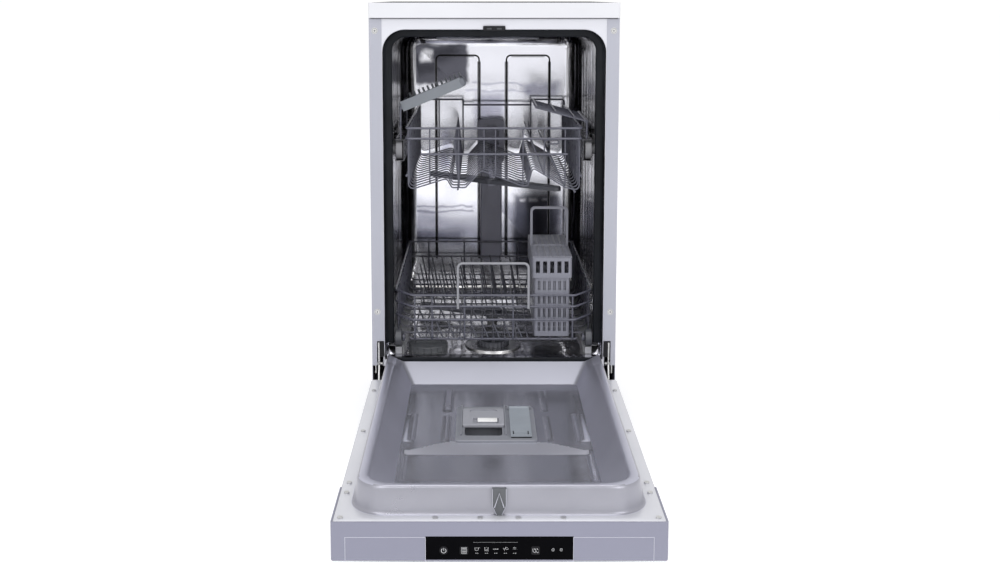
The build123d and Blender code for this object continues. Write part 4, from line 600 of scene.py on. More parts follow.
# ------------------------------------------------------------- pressed tub
N1, N2, NC = 44, 66, 9
TB = [(2.2, 209, 178, 817, 2, 2), (1.2, 208.6, 178.4, 816.6, 2, 2), (1.2, 201.8, 189.2, 798.4, 4, 41),
      (1.5, 200.8, 190.0, 797.4, 3.4, 40.4), (2.4, 200.4, 190.4, 797, 3, 40), (34.6, 200.4, 190.2, 797, 3, 40),
      (35.7, 199.8, 190.1, 796.4, 3, 39.5), (36, 196.6, 190.0, 791.6, 3, 35.6), (36.4, 196, 189.8, 791, 3, 35),
      (37, 196, 189.5, 791, 4, 35), (37.6, 196, 189.0, 791, 8, 35), (38.4, 196, 188.3, 791, 16, 35),
      (40, 196, 188, 790.9, 19, 35)]
tub_rings = []
for y, half, low, high, rl, rh in TB:
    ring = [(a, y, b) for a, b in loop(-half, half, low, high, rl, rl, rh, rh, N1, N2, NC)]
    if half > 203.4:
        ring = [(max(-203.4, min(203.4, a)) if b < 240 else a, y_, b) for a, y_, b in ring]
    tub_rings.append(ring)
S_R = (N1 + NC, N1 + NC + N2)                       # right side run of the loop
S_L = (2 * N1 + 3 * NC + N2, 2 * N1 + 3 * NC + 2 * N2)
TOP = (N1 + 2 * NC + N2, 2 * N1 + 2 * NC + N2)


def rib(y, z, side):
    """Pressed ribs of the side walls: positive towards the outside."""
    fade = smooth01((z - 236) / 30) * smooth01((758 - z) / 30) * smooth01((y - 48) / 14) * smooth01((478 - y) / 14)
    w = 0.75 * math.sin(2 * math.pi * y / 27 + side) + 0.45 * math.sin(2 * math.pi * y / 17.3 + 1.3 * side)
    bead = 0.0
    for yb in (200, 330, 440):
        bead += 0.6 * math.exp(-((y - yb) / 5.0) ** 2)
    slow = 0.25 * math.sin(z / 61.0 + y / 37.0 + side)
    return fade * max(-1.6, min(0.9, w * 0.62 + bead + slow))


def roof_at(y):
    return 791.0 - (y - 37.0) * 16.0 / 483.0


body_ys = list(np.arange(44.0, 485.0, 3.4))
for y in body_ys:
    top = roof_at(y)
    ring = [(a, y, b) for a, b in loop(-196, 196, 188, top, 19, 19, 35, 35, N1, N2, NC)]
    for k in range(*S_R):
        a, yy, b = ring[k]
        ring[k] = (a + rib(y, b, 0.4), yy, b)
    for k in range(*S_L):
        a, yy, b = ring[k]
        ring[k] = (a - rib(y, b, 1.9), yy, b)
    for k in range(*TOP):
        a, yy, b = ring[k]
        ring[k] = (a, yy, b + 0.5 * math.sin(a / 31.0) * smooth01((y - 50) / 20) - 0.4)
    tub_rings.append(ring)

base = loop(-196, 196, 188, roof_at(485), 19, 19, 35, 35, N1, N2, NC)
top0 = roof_at(485)
inward, radii = [], []
for k, (a, b) in enumerate(base):
    if k < N1:
        inward.append((0, 1)); radii.append(18.0)
    elif k < N1 + NC:
        d = np.array([177 - a, 207 - b]) / 19.0
        inward.append(tuple(d)); radii.append(18.0)
    elif k < S_R[1]:
        inward.append((-1, 0)); radii.append(18 + 17 * float(smooth01((b - 200) / 80)))
    elif k < TOP[0]:
        d = np.array([161 - a, top0 - 35 - b]) / 35.0
        t = (k - S_R[1]) / NC
        inward.append(tuple(d)); radii.append(35 - 7 * t)
    elif k < TOP[1]:
        inward.append((0, -1)); radii.append(28.0)
    elif k < S_L[0]:
        d = np.array([-161 - a, top0 - 35 - b]) / 35.0
        t = (k - TOP[1]) / NC
        inward.append(tuple(d)); radii.append(28 + 7 * t)
    elif k < S_L[1]:
        inward.append((1, 0)); radii.append(18 + 17 * float(smooth01((b - 200) / 80)))
    else:
        d = np.array([-177 - a, 207 - b]) / 19.0
        inward.append(tuple(d)); radii.append(18.0)
for t in np.linspace(0, math.pi / 2, 9):
    ring = []
    for (a, b), d, r in zip(base, inward, radii):
        inset = r * (1 - math.cos(t))
        yy = 520 - r * (1 - math.sin(t))
        drop = (roof_at(yy) - top0) if b > 700 else 0.0
        ring.append((a + d[0] * inset, yy, b + d[1] * inset + drop))
    tub_rings.append(ring)
tub_mesh = Mesh()
tub_mesh.loft(tub_rings, caps=False)
m_ring = len(tub_rings[0])
last = (len(tub_rings) - 1) * m_ring
tub_mesh.f.append(tuple(last + k for k in range(m_ring)))
tub_vis = tub_mesh.make("tub_pressed", "tub_floor", "cabinet", sharp=50)


# Tub faces by place, in tones of its steel that paint light and reflections: 1 back wall, 2 side walls, 3 roof and
# front step, 4 front flange, 5 rear corners, 0 floor and the rest.
def pick_tub(x, y, z):
    if y < 3:
        return 4
    if y < 40:
        return 3
    if y > 519.5 and abs(x) < 175:
        return 1
    if abs(x) > 176 and z > 200 and z < 770:
        return 2 if y < 488 else 5
    if y >= 486 and abs(x) > 150 and z > 230:
        return 5
    if z > 740:
        return 3
    return 0


more_materials(tub_vis, ["tub_back", "tub_side", "tub_roof", "tub_flange", "tub_corner"], pick_tub)
bm = bmesh.new()
bm.from_mesh(tub_vis.data)
HOLES = [((0, 105), 44.5), ((-124, 82), 29), ((0, 262), 11)]
floor_faces = []
for f in bm.faces:
    c = f.calc_center_median()
    if abs(c.z - 0.188) < 0.0008 and c.y > 0.078:
        for (hx, hy), r in HOLES:
            if math.hypot(c.x * 1000 - hx, c.y * 1000 - 40 - hy) < r - 1:
                floor_faces.append(f)
                break
bmesh.ops.delete(bm, geom=floor_faces, context="FACES")
for v in bm.verts:
    if abs(v.co.z - 0.188) < 0.0006 and v.is_boundary:
        for (hx, hy), r in HOLES:
            dx, dy = v.co.x * 1000 - hx, v.co.y * 1000 - 40 - hy
            d = math.hypot(dx, dy)
            if 0.1 < d < r + 8:
                v.co.x, v.co.y = (hx + dx / d * r) / 1000, (hy + dy / d * r + 40) / 1000
bm.to_mesh(tub_vis.data)
bm.free()
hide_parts("tub")

# Pressed beads of the back wall, drawn as tubes in painted shade: near-black along the beads and grey along their
# edges.
beads = Mesh()
beads_grey = Mesh()
beads_roof = Mesh()
for x0, x1 in ((-123, -27), (34, 130)):
    inner, outer = (x1, x0) if x0 < 0 else (x0, x1)
    run = bend([(inner, 519.2, 265), (inner, 519.2, 726), (outer, 519.2, 726), (outer, 519.2, 640)], 10, 7)
    beads.tube(run, 1.75, 8, flat=0.5)
    beads.tube([(outer, 519.2, 642), (outer, 519.2, 265)], 1.3, 8, flat=0.5)
    for xx, w in ((inner, 2.9), (outer, 2.3)):
        for dx in (-w, w):
            beads_grey.tube([(xx + dx, 519.5, 268), (xx + dx, 519.5, 712)], 0.9, 6, flat=0.5)
    beads_grey.tube([(min(inner, outer) + 11, 519.5, 722.6), (max(inner, outer) - 11, 519.5, 722.6)], 0.8, 6)
# the roof bead in the pale flange steel, a painted highlight
beads_roof.tube(bend([(-124, 500, 770), (-121, 513.4, 763.0), (106, 513.4, 763.0), (109, 500, 770)], 3, 3)[2:-2], 1.7, 8)
beads.make("tub_back_beads", "bead_dark", "cabinet")
beads_grey.make("tub_back_bead_edge_shade", "bead_grey", "cabinet")
beads_roof.make("tub_roof_bead", "tub_flange", "cabinet")

# ------------------------------------------------------------- door gasket
G_PROFILE = [(0.1, 35.95), (0.05, 35.5), (0.4, 35.4), (4.2, 35.4), (5.2, 35.6), (7.0, 36.4), (8.6, 37), (11.0, 36.6),
             (13.0, 37.4), (14.0, 39.5), (14.1, 44.5), (13.0, 46.2), (5.6, 46.3), (4.5, 45), (4.45, 36.1), (2.4, 35.95),
             (0.1, 35.95)]


def u_path(s):
    x, z = 200.1 - s, 796.7 - s
    r = 39.7 - s
    pts = [(-x, z0) for z0 in np.linspace(212, z - r, 20)]
    for k in range(1, 13):
        t = math.pi - math.pi / 2 * k / 12
        pts.append((-x + r + r * math.cos(t), z - r + r * math.sin(t)))
    pts += [(x0, z) for x0 in np.linspace(-x + r, x - r, 14)[1:]]
    for k in range(1, 13):
        t = math.pi / 2 - math.pi / 2 * k / 12
        pts.append((x - r + r * math.cos(t), z - r + r * math.sin(t)))
    pts += [(x, z0) for z0 in np.linspace(z - r, 212, 20)[1:]]
    return pts


gasket = Mesh()
gasket.loft([[(a, y, b) for a, b in u_path(s)] for s, y in G_PROFILE], closed=False)
gasket.block((-190, -2.0, 182.6), (190, 1.1, 195.0), 1.2)
gasket_vis = gasket.make("door_gasket", "rubber", "cabinet", sharp=50)
fix_normals(gasket_vis)
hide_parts("tub_gasket")

# ------------------------------------------------------------- pressed liner of the door
L1, L2, LC = 34, 60, 11
LINER = [(203, -601, 30, 47, 10, 165.0), (202.2, -600.2, 29, 46.6, 10, 165.15), (201.3, -599.3, 28.4, 46.2, 10, 165.7),
         (200.4, -598.4, 27.4, 45.4, 10, 167), (199.6, -597.6, 26.5, 44.8, 10, 171), (198, -596, 24.5, 43, 10, 182),
         (195.8, -593.8, 22, 41.4, 10, 196.6), (195.0, -593.0, 21.4, 40.8, 10, 199.8),
         (193.8, -591.9, 20.6, 40, 10, 201.8), (192.0, -590.3, 19.7, 39, 10, 202.8), (189.6, -588.4, 19, 38, 10, 203),
         (181.6, -584.3, 7, 34.5, 10, 203), (179.6, -582.8, 6.2, 33, 9, 202.6), (177.9, -581.5, 5.2, 31, 8, 201.2),
         (176.6, -580.6, 4, 30, 8, 198.8), (149, -560, -52, 8, 8, 161.3)]


def liner_ring(a, y0, y1, rn, rf, z):
    return [(p, q, z) for p, q in loop(-a, a, y0, y1, rn, rn, rf, rf, L1, L2, LC)]


liner = Mesh()
rings = []
for i, row in enumerate(LINER):
    rings.append(liner_ring(*row))
    if i == 14:
        nxt = LINER[15]
        for t in np.linspace(0, 1, 7)[1:-1]:
            rings.append(liner_ring(*[row[j] + (nxt[j] - row[j]) * t for j in range(6)]))
liner.loft(rings, caps=False)
# floor with its step and beads
gx = np.linspace(-149, 149, 131)
gy = np.linspace(-560, -52, 221)


STEP_FOOT = -374.0


def step_top(x):
    return -327.0 - 35.0 * float(smooth01((abs(x) - 66) / 78.0))


def floor_z(x, y):
    up = 161.3
    e1 = step_top(x)
    e0 = STEP_FOOT
    t = (e1 - y) / max(4.0, (e1 - e0))
    edge = min(149 - abs(x), y + 560, -52 - y)
    fall = smooth01(edge / 12.0)
    z = up - 3.6 * float(np.clip(t, 0, 1)) * fall
    for cx, w, ya, yb, h in ((-80, 6.5, -195, -84, 2.0), (-80, 4.5, -328, -212, 2.0), (84, 4.5, -195, -84, 1.5),
                             (84, 3.5, -328, -212, 1.5)):
        bx = smooth01((w - abs(x - cx)) / 1.6 + 0.5)
        by = smooth01((min(y - ya, yb - y)) / 4.0)
        z += h * float(bx * by)
    side = -134 if x < 0 else 134
    t2 = smooth01((abs(x) - 128) / 4.0) * smooth01((-205 - y) / 4.0) * smooth01((y + 330) / 4.0)
    z += 2.0 * float(t2) * fall
    z += 0.25 * math.sin(x / 46.0 + 0.6) * math.sin(y / 63.0) * fall
    return z


verts, faces = [], []
for y in gy:
    for x in gx:
        verts.append(P(x, y, floor_z(x, y)))
nx = len(gx)
for j in range(len(gy) - 1):
    for i in range(nx - 1):
        cx, cy = (gx[i] + gx[i + 1]) / 2, (gy[j] + gy[j + 1]) / 2
        if abs(cx) < 58.0 and abs(cy + 255.5) < 71.0:
            continue
        faces.append((j * nx + i, j * nx + i + 1, (j + 1) * nx + i + 1, (j + 1) * nx + i))
liner.add(verts, faces)
liner_vis = liner.make("liner_pressed", "liner", "door", sharp=50)
bm = bmesh.new()
bm.from_mesh(liner_vis.data)
for v in bm.verts:      # the rim is lower beside the front wheels of the lower basket, which meet it in the shut door
    ax, ly, lz = abs(v.co.x) * 1000, v.co.y * 1000 - 40, v.co.z * 1000
    if 170 < ax < 192 and lz > 188:
        drop = float(np.interp(ax, [172, 176.6, 177.9, 179.6, 181.6, 189.6, 192], [0, 3.8, 5.2, 5.8, 5.4, 1.2, 0]))
        v.co.z -= drop * float(smooth01((ly + 66) / 14)) / 1000
cut_y = (-9.0 + 40) / 1000
geom = list(bm.verts) + list(bm.edges) + list(bm.faces)
cut = bmesh.ops.bisect_plane(bm, geom=geom, dist=1e-6, plane_co=(0, cut_y, 0), plane_no=(0, 1, 0), clear_outer=True)
edges = [e for e in bm.edges if e.is_boundary and all(abs(v.co.y - cut_y) < 1e-6 for v in e.verts)]
ext = bmesh.ops.extrude_edge_only(bm, edges=edges)
for v in ext["geom"]:
    if isinstance(v, bmesh.types.BMVert):
        v.co.z = 0.165
bm.to_mesh(liner_vis.data)
bm.free()
liner_vis.data.polygons.foreach_set("use_smooth", [True] * len(liner_vis.data.polygons))
liner_vis.data.set_sharp_from_angle(angle=math.radians(50))
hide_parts("inner_liner")


# Liner faces by place, in tones of its steel that paint light and shade: 1 far slope and 2 rim top darker (painted
# shade), 3 step band lighter (painted highlight), 4 floor lighter (painted light).
def pick_liner(x, y, z):
    if y > -52.5 and abs(x) < 150 + (y + 52) * 0.5:
        return 1
    if z > 165.3 and 47.0 - math.hypot(max(abs(x) - 156.0, 0.0), max(-554.0 - y, 0.0)) < 10.8:
        return 2
    if z < 161.25 and step_top(x) > y > STEP_FOOT and abs(x) < 143:
        return 3
    if z < 163.4 and abs(x) < 148.8 and -559.8 < y < -52.2:
        return 4
    return 0


more_materials(liner_vis, ["liner_far", "liner_rim", "liner_step", "liner_floor"], pick_liner)

# flat flange of the liner, in its lighter copy of the liner steel (painted light)
flange = Mesh()
outer_loop = loop(-221.3, 221.3, -619.3, -38, 2, 2, 0.4, 0.4, L1, L2, LC)
edge_loop = loop(-221.0, 221.0, -619.0, -38, 2, 2, 0.4, 0.4, L1, L2, LC)
inner_loop = loop(-203, 203, -601, -38, 47, 47, 0.4, 0.4, L1, L2, LC)
m = len(outer_loop)
far = range(L1 + 2 * LC + L2, 2 * L1 + 2 * LC + L2 - 1)
verts = [P(a, b, 164.0) for a, b in outer_loop] + [P(a, b, 164.7) for a, b in outer_loop] \
    + [P(a, b, 165.0) for a, b in edge_loop] + [P(a, b, 165.0) for a, b in inner_loop]
faces = []
for r in range(3):
    for k in range(m):
        if k in far:
            continue
        k2 = (k + 1) % m
        faces.append((r * m + k, r * m + k2, (r + 1) * m + k2, (r + 1) * m + k))
flange.add(verts, faces)
flange.block((-204, -38.2, 164.0), (204, 60, 165.0), 0.4)
flange.make("liner_flange", "liner_flange" if "liner_flange" in M else "liner", "door", sharp=50)

# ------------------------------------------------------------- upper basket, bent wire
W = [(-156.5, 618.0), (-156.5, 503), (-86, 525), (-77, 508), (-52, 508), (-23, 540), (52, 511), (62, 511), (71, 545),
     (130, 509), (156.5, 502), (156.5, 618.0)]
W_R = [9, 7, 4, 6, 9, 6, 4, 5, 9, 8]
W_YS = [24.0 + 32.0 * i for i in range(15)]
rack = Mesh()
for y in W_YS:
    rack.tube(bend([(x, y, z) for x, z in W], W_R, 4), 1.35, 7)
yv, yb = 21.34, 474.66
for x, z in ((-117, 516), (-64, 509), (-18, 539), (3, 530), (53, 512), (92, 533), (130, 511)):
    rack.tube(bend([(x, yv + 26, z + 1.5), (x, yv, z), (x, yv, 619)], 6, 5), 1.35, 7)
for x, z, top in ((-115, 517, 632), (-62, 509, 632), (87, 536, 632), (128, 511, 632)):
    rack.tube([(x, yb, z), (x, yb, top)], 1.35, 7)
for y in W_YS:
    rack.tube(bend([(-64, y, 509.9), (-66, y, 528), (-73, y, 592)], 40, 4), 1.3, 7)
    rack.tube(bend([(90, y, 537.3), (86, y, 550), (72, y, 584)], 40, 4), 1.3, 7)
    rack.tube(bend([(125.5, y, 516.4), (119, y, 534), (103, y, 563)], 40, 4), 1.3, 7)
yf, yk, xr = 17.28, 478.02, 159.86
for z in (618.0, 599.0):
    ends = []
    rack.tube(bend([(-xr, yk - 3, z), (-xr, yf, z), (xr, yf, z), (xr, yk - 3, z)], 9, 6), 2.05, 8)
rack.tube([(-134, yf, 570.5), (134, yf, 570.5)], 2.0, 8)
rack.tube(bend([(-xr, yk - 4, 618), (-xr, yk, 631), (-62, yk, 631), (-62, yk, 619), (87, yk, 619), (87, yk, 631),
                (xr, yk, 631), (xr, yk - 4, 618)], [5, 3, 3, 3, 3, 5], 4), 2.05, 8)
for x, z in ((-66, 504.84), (0, 527.69), (148, 500.84)):
    rack.tube([(x, 20, z), (x, 476, z)], 1.8, 7)
for s in (-1, 1):
    rack.tube([(s * xr, 23, 530), (s * xr, 473, 530)], 2.0, 8)
for s, top in ((-1, 655), (1, 629)):
    rack.tube(bend([(s * 172, 54, 593.9), (s * 172, 54, top), (s * 172, 54.02, top)], 0, 2)[:2], 2.0, 8)
    rack.tube([(s * 172, 236, 593.9), (s * 172, 236, top)], 2.0, 8)
    rack.tube([(s * 172, 54, top - 3), (s * 172, 236, top - 3)], 1.55, 8)
rack.tube(bend([(92, yv, 586), (92, yv - 1, 596), (118, yv - 1, 596), (118, yv - 1, 589), (98, yv - 1, 589)], 3.4, 5), 1.3, 7)
rack.make("upper_basket_wire", "wire", "upper_rack", replaces=["upper_rack"], sharp=60)

# ------------------------------------------------------------- lower basket, bent wire
SX, LX, L_FLOOR, FRONT_Y = 183.2, 150.0, 226.0, 16.0
CROSS_YS = [27.0 + 42.0 * i for i in range(12)]
LONG_XS = [-147.0 + 21.0 * i for i in range(15)]
cz = 222.44
rim_x = SX - 3.2 + 1.5 + 2 + 0.06
yk = CROSS_YS[-1] + 8
low = Mesh()
sxw = SX - 3.2
low.tube(bend([(-150, 27, cz + 30), (-158, 27, cz), (158, 27, cz), (150, 27, cz + 30)], 6, 4)[3:-3], 2.0, 8)
for y in CROSS_YS[1:]:
    low.tube(bend([(-sxw, y, 309), (-sxw, y, cz), (sxw, y, cz), (sxw, y, 309)], 11, 6), 1.8, 8)
for x in LONG_XS:
    low.tube([(x, 23, L_FLOOR), (x, CROSS_YS[-1] + 4, L_FLOOR)], 1.5, 7)
for x in (-146, -114, -54, 36, 146):
    low.tube(bend([(x, 46, cz), (x, FRONT_Y + 3.56, cz), (x, FRONT_Y + 3.56, 309)], 9, 6), 1.6, 7)
for z in (308.0, 287.0, 262.0):
    low.tube(bend([(-rim_x, yk, z), (-rim_x, 57, z), (-LX, FRONT_Y, z), (LX, FRONT_Y, z), (rim_x, 57, z),
                   (rim_x, yk, z)], 12, 7), 2.05, 8)
for z in (308.0, 274.0):
    low.tube([(-rim_x - 2, yk + 2.06, z), (rim_x + 2, yk + 2.06, z)], 2.0, 8)
for x in (-140, -60, 60, 140):
    low.tube([(x, yk - 2, cz), (x, yk - 2, 309)], 1.5, 7)


def disc(mesh, x0, x1, y, z, r, ease=0.8, n=28):
    """Turned disc on an axis along X with eased edges."""
    rows = []
    for x, rr in ((x0, r - ease), (x0 + ease * 0.3, r - ease * 0.3), (x0 + ease, r), (x1 - ease, r),
                  (x1 - ease * 0.3, r - ease * 0.3), (x1, r - ease)):
        rows.append([(x, y + rr * math.cos(2 * math.pi * k / n), z + rr * math.sin(2 * math.pi * k / n)) for k in range(n)])
    mesh.loft(rows)


for ry in (48.0, 426.0):
    for s in (-1, 1):
        disc(low, min(s * 166, s * 171), max(s * 166, s * 171), ry, 219.45, 7)
        low.tube([(s * 166, ry, 219.45), (s * 185.5, ry, 219.45)], 3.0, 14)
low.make("lower_basket_wire", "wire", "lower_rack", replaces=["lower_rack"], sharp=60)

# tines with rounded tips
tin = Mesh()
rows = []
for i in range(10):
    x = -136.5 + 21.0 * i
    rows += [((x, y, 225.3), (x - 12.6, y, 256)) for y in (27, 153)]
    rows += [((x, y, 225.3), (x - 14.5, y, 298)) for y in (237, 321, 405)]
for x in (73.5, 94.5, 115.5, 136.5):
    rows += [((x, y, 225.3), (x + 12.5, y, 292)) for y in (237, 321, 405)]


def rounded_rod(mesh, p, q, r, n=8):
    p, q = np.array(p, float), np.array(q, float)
    d = (q - p) / np.linalg.norm(q - p)
    u = np.cross(d, [0, 1.0, 0]); u /= np.linalg.norm(u)
    w = np.cross(d, u)
    rows_ = []
    for c, rr in ((p, r), (q - d * r, r), (q - d * r * 0.5, r * 0.86), (q - d * r * 0.12, r * 0.5), (q, r * 0.08)):
        rows_.append([tuple(c + rr * (math.cos(2 * math.pi * k / n) * u + math.sin(2 * math.pi * k / n) * w))
                      for k in range(n)])
    mesh.loft(rows_)


for p, q in rows:
    rounded_rod(tin, p, q, 1.5)
tin.make("lower_basket_tines", "wire_dark", "lower_rack", replaces=["lower_rack_tines"], sharp=60)

# ------------------------------------------------------------- keys, icons and small marks of the fascia
def flat_disc(mesh, x, z, y0, y1, r, ease=0.5, n=36):
    rows_ = []
    for y, rr in ((y1, r), (y0 + ease, r), (y0 + ease * 0.3, r - ease * 0.3), (y0, r - ease)):
        rows_.append([(x + rr * math.cos(2 * math.pi * k / n), y, z + rr * math.sin(2 * math.pi * k / n)) for k in range(n)])
    mesh.loft(rows_)


def flat_square(mesh, x, z, y0, y1, h, r, ease=0.5):
    rows_ = []
    for y, e in ((y1, 0.0), (y0 + ease, 0.0), (y0 + ease * 0.3, ease * 0.3), (y0, ease)):
        rows_.append([(a, y, b) for a, b in loop(x - h + e, x + h - e, z - h + e, z + h - e, r, r, r, r, 3, 3, 5)])
    mesh.loft(rows_)


def stroke(mesh, pts, y, r=0.32, closed=False):
    mesh.tube([(a, y, b) for a, b in pts], r, 6, closed=closed, flat=1.0)


def arc(x, z, r, a0, a1, n=14):
    return [(x + r * math.cos(math.radians(a0 + (a1 - a0) * k / n)), z + r * math.sin(math.radians(a0 + (a1 - a0) * k / n)))
            for k in range(n + 1)]


for name, body, x, kind in (("power_button", "power_button", -74.0, 0), ("programme_button", "programme_button", -47.0, 1),
                            ("half_load_button", "half_load_button", 48.0, 1)):
    key = Mesh()
    if kind == 0:
        flat_disc(key, x, 125.5, -621.95, -613.2, 5.9)
        flat_disc(key, x, 125.5, -614.45, -613.05, 7.9, 0.3)
    else:
        flat_square(key, x, 125.5, -621.95, -613.2, 5.9, 2.0)
        flat_square(key, x, 125.5, -614.45, -613.05, 7.9, 2.0, 0.3)
    key.make(name + "_cap", "button", body, replaces=[name], sharp=40)

YI = -621.84
ic = Mesh()
stroke(ic, arc(-74, 125.3, 3.2, 120, 420), YI, 0.33)
stroke(ic, [(-74, 125.4), (-74, 129.2)], YI, 0.33)
ic.make("power_icon", "icon", "power_button")
ic = Mesh()
for z in (122.3, 124.4, 126.5, 128.6):
    stroke(ic, [(-49.6, z), (-44.4, z)], YI, 0.30)
stroke(ic, [(-50.4, 121.2), (-43.6, 121.2), (-43.6, 129.8), (-50.4, 129.8)], YI, 0.22, closed=True)
ic.make("programme_icon", "icon", "programme_button")
ic = Mesh()
for dx in (-2.2, 1.6):
    stroke(ic, [(48 + dx - 1.6, 128.2), (48 + dx - 1.2, 124.2), (48 + dx + 1.2, 122.4), (48 + dx + 2.4, 124.0)], YI, 0.3)
    stroke(ic, [(48 + dx, 128.6), (48 + dx + 1.6, 126.6)], YI, 0.26)
ic.make("half_load_icon", "icon", "half_load_button")

marks = Mesh()
YW = -621.72
stroke(marks, [(-35, 137.0), (24.6, 137.0)], YW, 0.22)
for x, kind in ((-30.0, 0), (-17.3, 1), (-4.9, 2), (7.9, 3), (20.2, 4)):
    z = 127.6
    if kind == 0:      # pan
        stroke(marks, [(x - 2.8, z + 1.6), (x - 2.2, z - 1.8), (x + 1.6, z - 1.8), (x + 2.2, z + 1.6)], YW, 0.3)
        stroke(marks, [(x + 2.2, z + 1.0), (x + 4.0, z + 2.2)], YW, 0.26)
        stroke(marks, [(x - 2.8, z + 1.6), (x + 2.2, z + 1.6)], YW, 0.26)
    elif kind == 1:    # cup
        stroke(marks, [(x - 2.6, z + 2.6), (x - 1.9, z - 1.4), (x + 1.9, z - 1.4), (x + 2.6, z + 2.6)], YW, 0.3)
        stroke(marks, arc(x, z + 1.2, 1.4, 20, 340), YW, 0.22)
        stroke(marks, [(x - 3, z - 2.4), (x + 3, z - 2.4)], YW, 0.26)
    elif kind == 2:    # three short bars
        for d in (-2.4, 0, 2.4):
            stroke(marks, [(x + d - 0.8, z), (x + d + 0.8, z)], YW, 0.42)
    elif kind == 3:    # wine glass
        stroke(marks, arc(x - 1.4, z + 1.6, 1.5, 180, 360) + [(x + 0.1, z + 3.0)], YW, 0.26)
        stroke(marks, [(x - 1.4, z + 0.1), (x - 1.4, z - 2.4)], YW, 0.26)
        stroke(marks, arc(x + 2.0, z + 0.8, 1.6, 60, 380), YW, 0.26)
    else:              # drops
        stroke(marks, [(x - 2.0, z + 0.2), (x + 2.0, z + 0.2)], YW, 0.26)
        for d in (-1.4, 0.0, 1.4):
            stroke(marks, [(x + d, z + 2.4), (x + d - 0.4, z + 1.4)], YW, 0.26)
    stroke(marks, [(x - 1.9, 121.8), (x - 0.5, 121.8)], YW, 0.34)
    stroke(marks, [(x + 0.5, 121.8), (x + 1.9, 121.8)], YW, 0.34)
for x in (71.1, 81.9):
    stroke(marks, arc(x, 126.6, 1.7, 0, 330), YW, 0.3)
    stroke(marks, [(x, 126.0), (x, 127.4)], YW, 0.3)
marks.make("window_marks", "icon", "door")

chev = Mesh()
chev.tube([(-6.4, -603.2, 176.6), (0, -603.2, 196.5), (6.4, -603.2, 176.6)], 0.75, 6)
chev.tube([(-9.2, -602.4, 202.0), (-9.2, -602.4, 178.4), (-3.6, -602.4, 166)], 0.4, 6)
chev.tube([(9.2, -602.4, 202.0), (9.2, -602.4, 178.4), (3.6, -602.4, 166)], 0.4, 6)
chev.make("latch_chevron", "trim", "door")

keyb = Mesh()
keyb.block((-29.5, -265.2, 169.8), (2.5, -248.8, 171.3), 1.1)
keyb.make("detergent_lid_key", "button_white", "detergent_lid")
clip = Mesh()
clip.block((28.6, -309.6, 167.6), (50.0, -306.8, 169.2), 0.5)
clip.block((25.0, -320.6, 167.6), (54.6, -316.6, 169.4), 0.6)
clip.make("rinse_flap_clip", "disp_flap", "rinse_aid_flap")
# the flap's slits as black strips: painted shade in the gaps
slits = Mesh()
slits.block((26.6, -317.0, 167.7), (28.2, -300.0, 168.35), 0.25)
slits.block((50.2, -317.0, 167.7), (51.8, -300.0, 168.35), 0.25)
slits.block((23.6, -322.6, 165.6), (56.0, -321.0, 166.6), 0.25)
slits.make("rinse_flap_slit_shade", "black", "rinse_aid_flap")
# pale lines along the edges of the fascia's insets: painted highlights
trim = Mesh()
for x0 in (-205.0, 98.2):
    for pts in ([(x0, 109.2), (x0, 143.8)], [(x0, 143.8), (x0 + 106.8, 143.8)], [(x0 + 106.8, 143.8), (x0 + 106.8, 109.2)]):
        stroke(trim, pts, -621.72, 0.42)
trim.make("fascia_inset_edge_highlights", "trim", "door")

# cross recesses and rims of the side panel screws, as dark marks: painted shade in the recesses and around the heads
cross = Mesh()
rims = Mesh()
for x in (-213.5, 213.5):
    for z in (795.0, 281.0):
        cross.block((x - 1.9, -0.93, z - 0.5), (x + 1.9, -0.80, z + 0.5), 0.05)
        cross.block((x - 0.5, -0.93, z - 1.9), (x + 0.5, -0.80, z + 1.9), 0.05)
        rims.tube([(x + 4.3 * math.cos(k * math.pi / 12), -0.42, z + 4.3 * math.sin(k * math.pi / 12))
                   for k in range(24)], 0.32, 6, closed=True)
cross.make("side_screw_recess_shade", "latch", "cabinet")
rims.make("side_screw_rim_shade", "latch", "cabinet")
# the worktop's top, in the near-black painted shade of top_board
surface = Mesh()
surface.block((-220.6, -3.7, 816.5), (220.6, 541.7, 845.0), 0.5)
surface.make("worktop_surface", "top_board", "cabinet", replaces=["worktop_board"])
back_of_striker = Mesh()
back_of_striker.block((-15.0, 0.2, 796.6), (15.0, 0.9, 801.5), 0.2)
back_of_striker.make("striker_backing", "latch", "cabinet")

# rounded end of the left cup shelf
end = Mesh()
end.block((117.5, 19.5, -8.0), (128.5, 60.0, 8.6), 3.4)
ca, sa = math.cos(math.radians(22.4)), math.sin(math.radians(22.4))
end.v = [((-172 + u * 1000 * ca - w * 1000 * sa) / 1000, y + 0.04, (652 + u * 1000 * sa + w * 1000 * ca) / 1000)
         for u, y, w in end.v]
end.make("left_cup_shelf_end", "shelf_end", "left_cup_shelf", sharp=60)


# fine lattice inside the slots of the cutlery basket
lattice = Mesh()
bx, by = 108.0, 125.0
for s in (-1, 1):
    y0 = by + s * 98.0
    for i in range(6):
        x = bx + (i - 2.5) * 9.5
        lattice.block((x - 0.55, y0 - 0.6, 236.0), (x + 0.55, y0 + 0.6, 334.0), 0.3)
    for z in (246.0, 324.0, 320.0, 328.0):
        lattice.block((bx - 27.0, y0 - 0.6, z - 0.5), (bx + 27.0, y0 + 0.6, z + 0.5), 0.3)
    x0 = bx + s * 32.0
    for yc in (-81, -33, 33, 81):
        for dy in (-12, 0, 12):
            y = by + yc + dy
            lattice.block((x0 - 0.6, y - 0.55, 236.0), (x0 + 0.6, y + 0.55, 334.0), 0.3)
        for z in (246.0, 272.0, 298.0, 324.0):
            lattice.block((x0 - 0.6, by + yc - 16, z - 0.5), (x0 + 0.6, by + yc + 16, z + 0.5), 0.3)
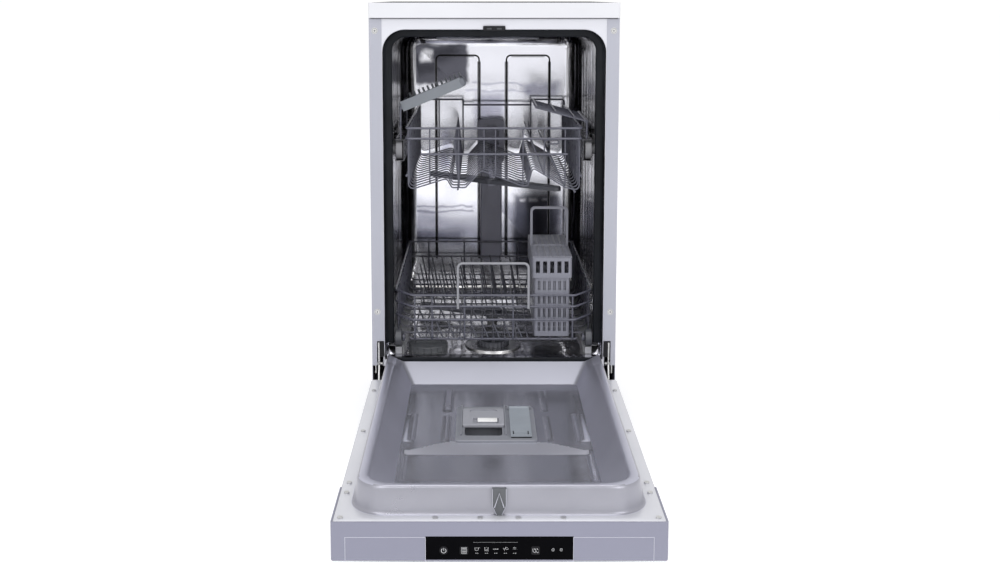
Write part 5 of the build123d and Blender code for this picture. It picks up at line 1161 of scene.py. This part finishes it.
lattice.make("cutlery_basket_lattice", "basket", "cutlery_basket")

# ------------------------------------------------------------------ the stage
floor_mesh = bpy.data.meshes.new("floor")
floor_mesh.from_pydata([(-6, -6, 0), (6, -6, 0), (6, 6, 0), (-6, 6, 0)], [], [(0, 1, 2, 3)])
floor = bpy.data.objects.new("floor", floor_mesh)
bpy.context.scene.collection.objects.link(floor)
pale = material("pale_floor", (0.90, 0.90, 0.90), rough=0.8, var=0.01, noise_scale=2, spec=0.1)
for node in pale.node_tree.nodes:
    if node.bl_idname == "ShaderNodeBsdfPrincipled":
        node.inputs["Emission Color"].default_value = (1, 1, 1, 1)
        node.inputs["Emission Strength"].default_value = 0.24
floor_mesh.materials.append(pale)

world = bpy.data.worlds.new("studio")
bpy.context.scene.world = world
world.use_nodes = True
wt = world.node_tree
bg = wt.nodes["Background"]
bg.inputs[0].default_value = (1, 1, 1, 1)
sky = wt.nodes.new("ShaderNodeTexCoord")
sky_xyz = wt.nodes.new("ShaderNodeSeparateXYZ")
sky_map = wt.nodes.new("ShaderNodeMapRange")
sky_map.inputs["From Min"].default_value = 0.12
sky_map.inputs["From Max"].default_value = 0.85
sky_map.inputs["To Min"].default_value = 1.02
sky_map.inputs["To Max"].default_value = 0.85
wt.links.new(sky.outputs["Generated"], sky_xyz.inputs[0])
wt.links.new(sky_xyz.outputs["Z"], sky_map.inputs["Value"])
wt.links.new(sky_map.outputs[0], bg.inputs[1])


def area(name, at, target, size, power, size_y=None):
    light = bpy.data.lights.new(name, "AREA")
    light.shape = "RECTANGLE"
    light.size = size
    light.size_y = size_y or size
    light.energy = power
    o = bpy.data.objects.new(name, light)
    bpy.context.scene.collection.objects.link(o)
    o.location = at
    d = Vector(target) - Vector(at)
    o.rotation_euler = d.to_track_quat("-Z", "Y").to_euler()
    return o


area("key", (-1.3, -3.2, 2.3), (0, 0, 0.4), 1.6, 27)
area("fill", (1.6, -3.0, 1.9), (0, 0, 0.4), 1.6, 21)
area("top", (0, -0.7, 2.8), (0, -0.2, 0), 1.6, 20)
bevel("control_fascia", 0.0009)
bevel("worktop_frame", 0.0008)
for part in ("dispenser_housing", "rinse_aid_flap", "detergent_lid", "door_latch", "door_striker", "hinge_covers",
             "left_cup_shelf", "cutlery_basket", "riser_duct", "upper_feed_pipe", "rack_tracks", "coarse_filter"):
    bevel(part, 0.0004)

cam_data = bpy.data.cameras.new("camera")
cam = bpy.data.objects.new("camera", cam_data)
bpy.context.scene.collection.objects.link(cam)
cam.location = (-0.027, -2.0711, 0.8543)
cam.rotation_euler = (math.radians(90 - 6.646), 0, 0)
cam_data.lens = 42.444
cam_data.sensor_width = 36.0
cam_data.shift_x = 0.0209
cam_data.shift_y = -0.1463
bpy.context.scene.camera = cam
bpy.context.scene.view_settings.view_transform = "Standard"
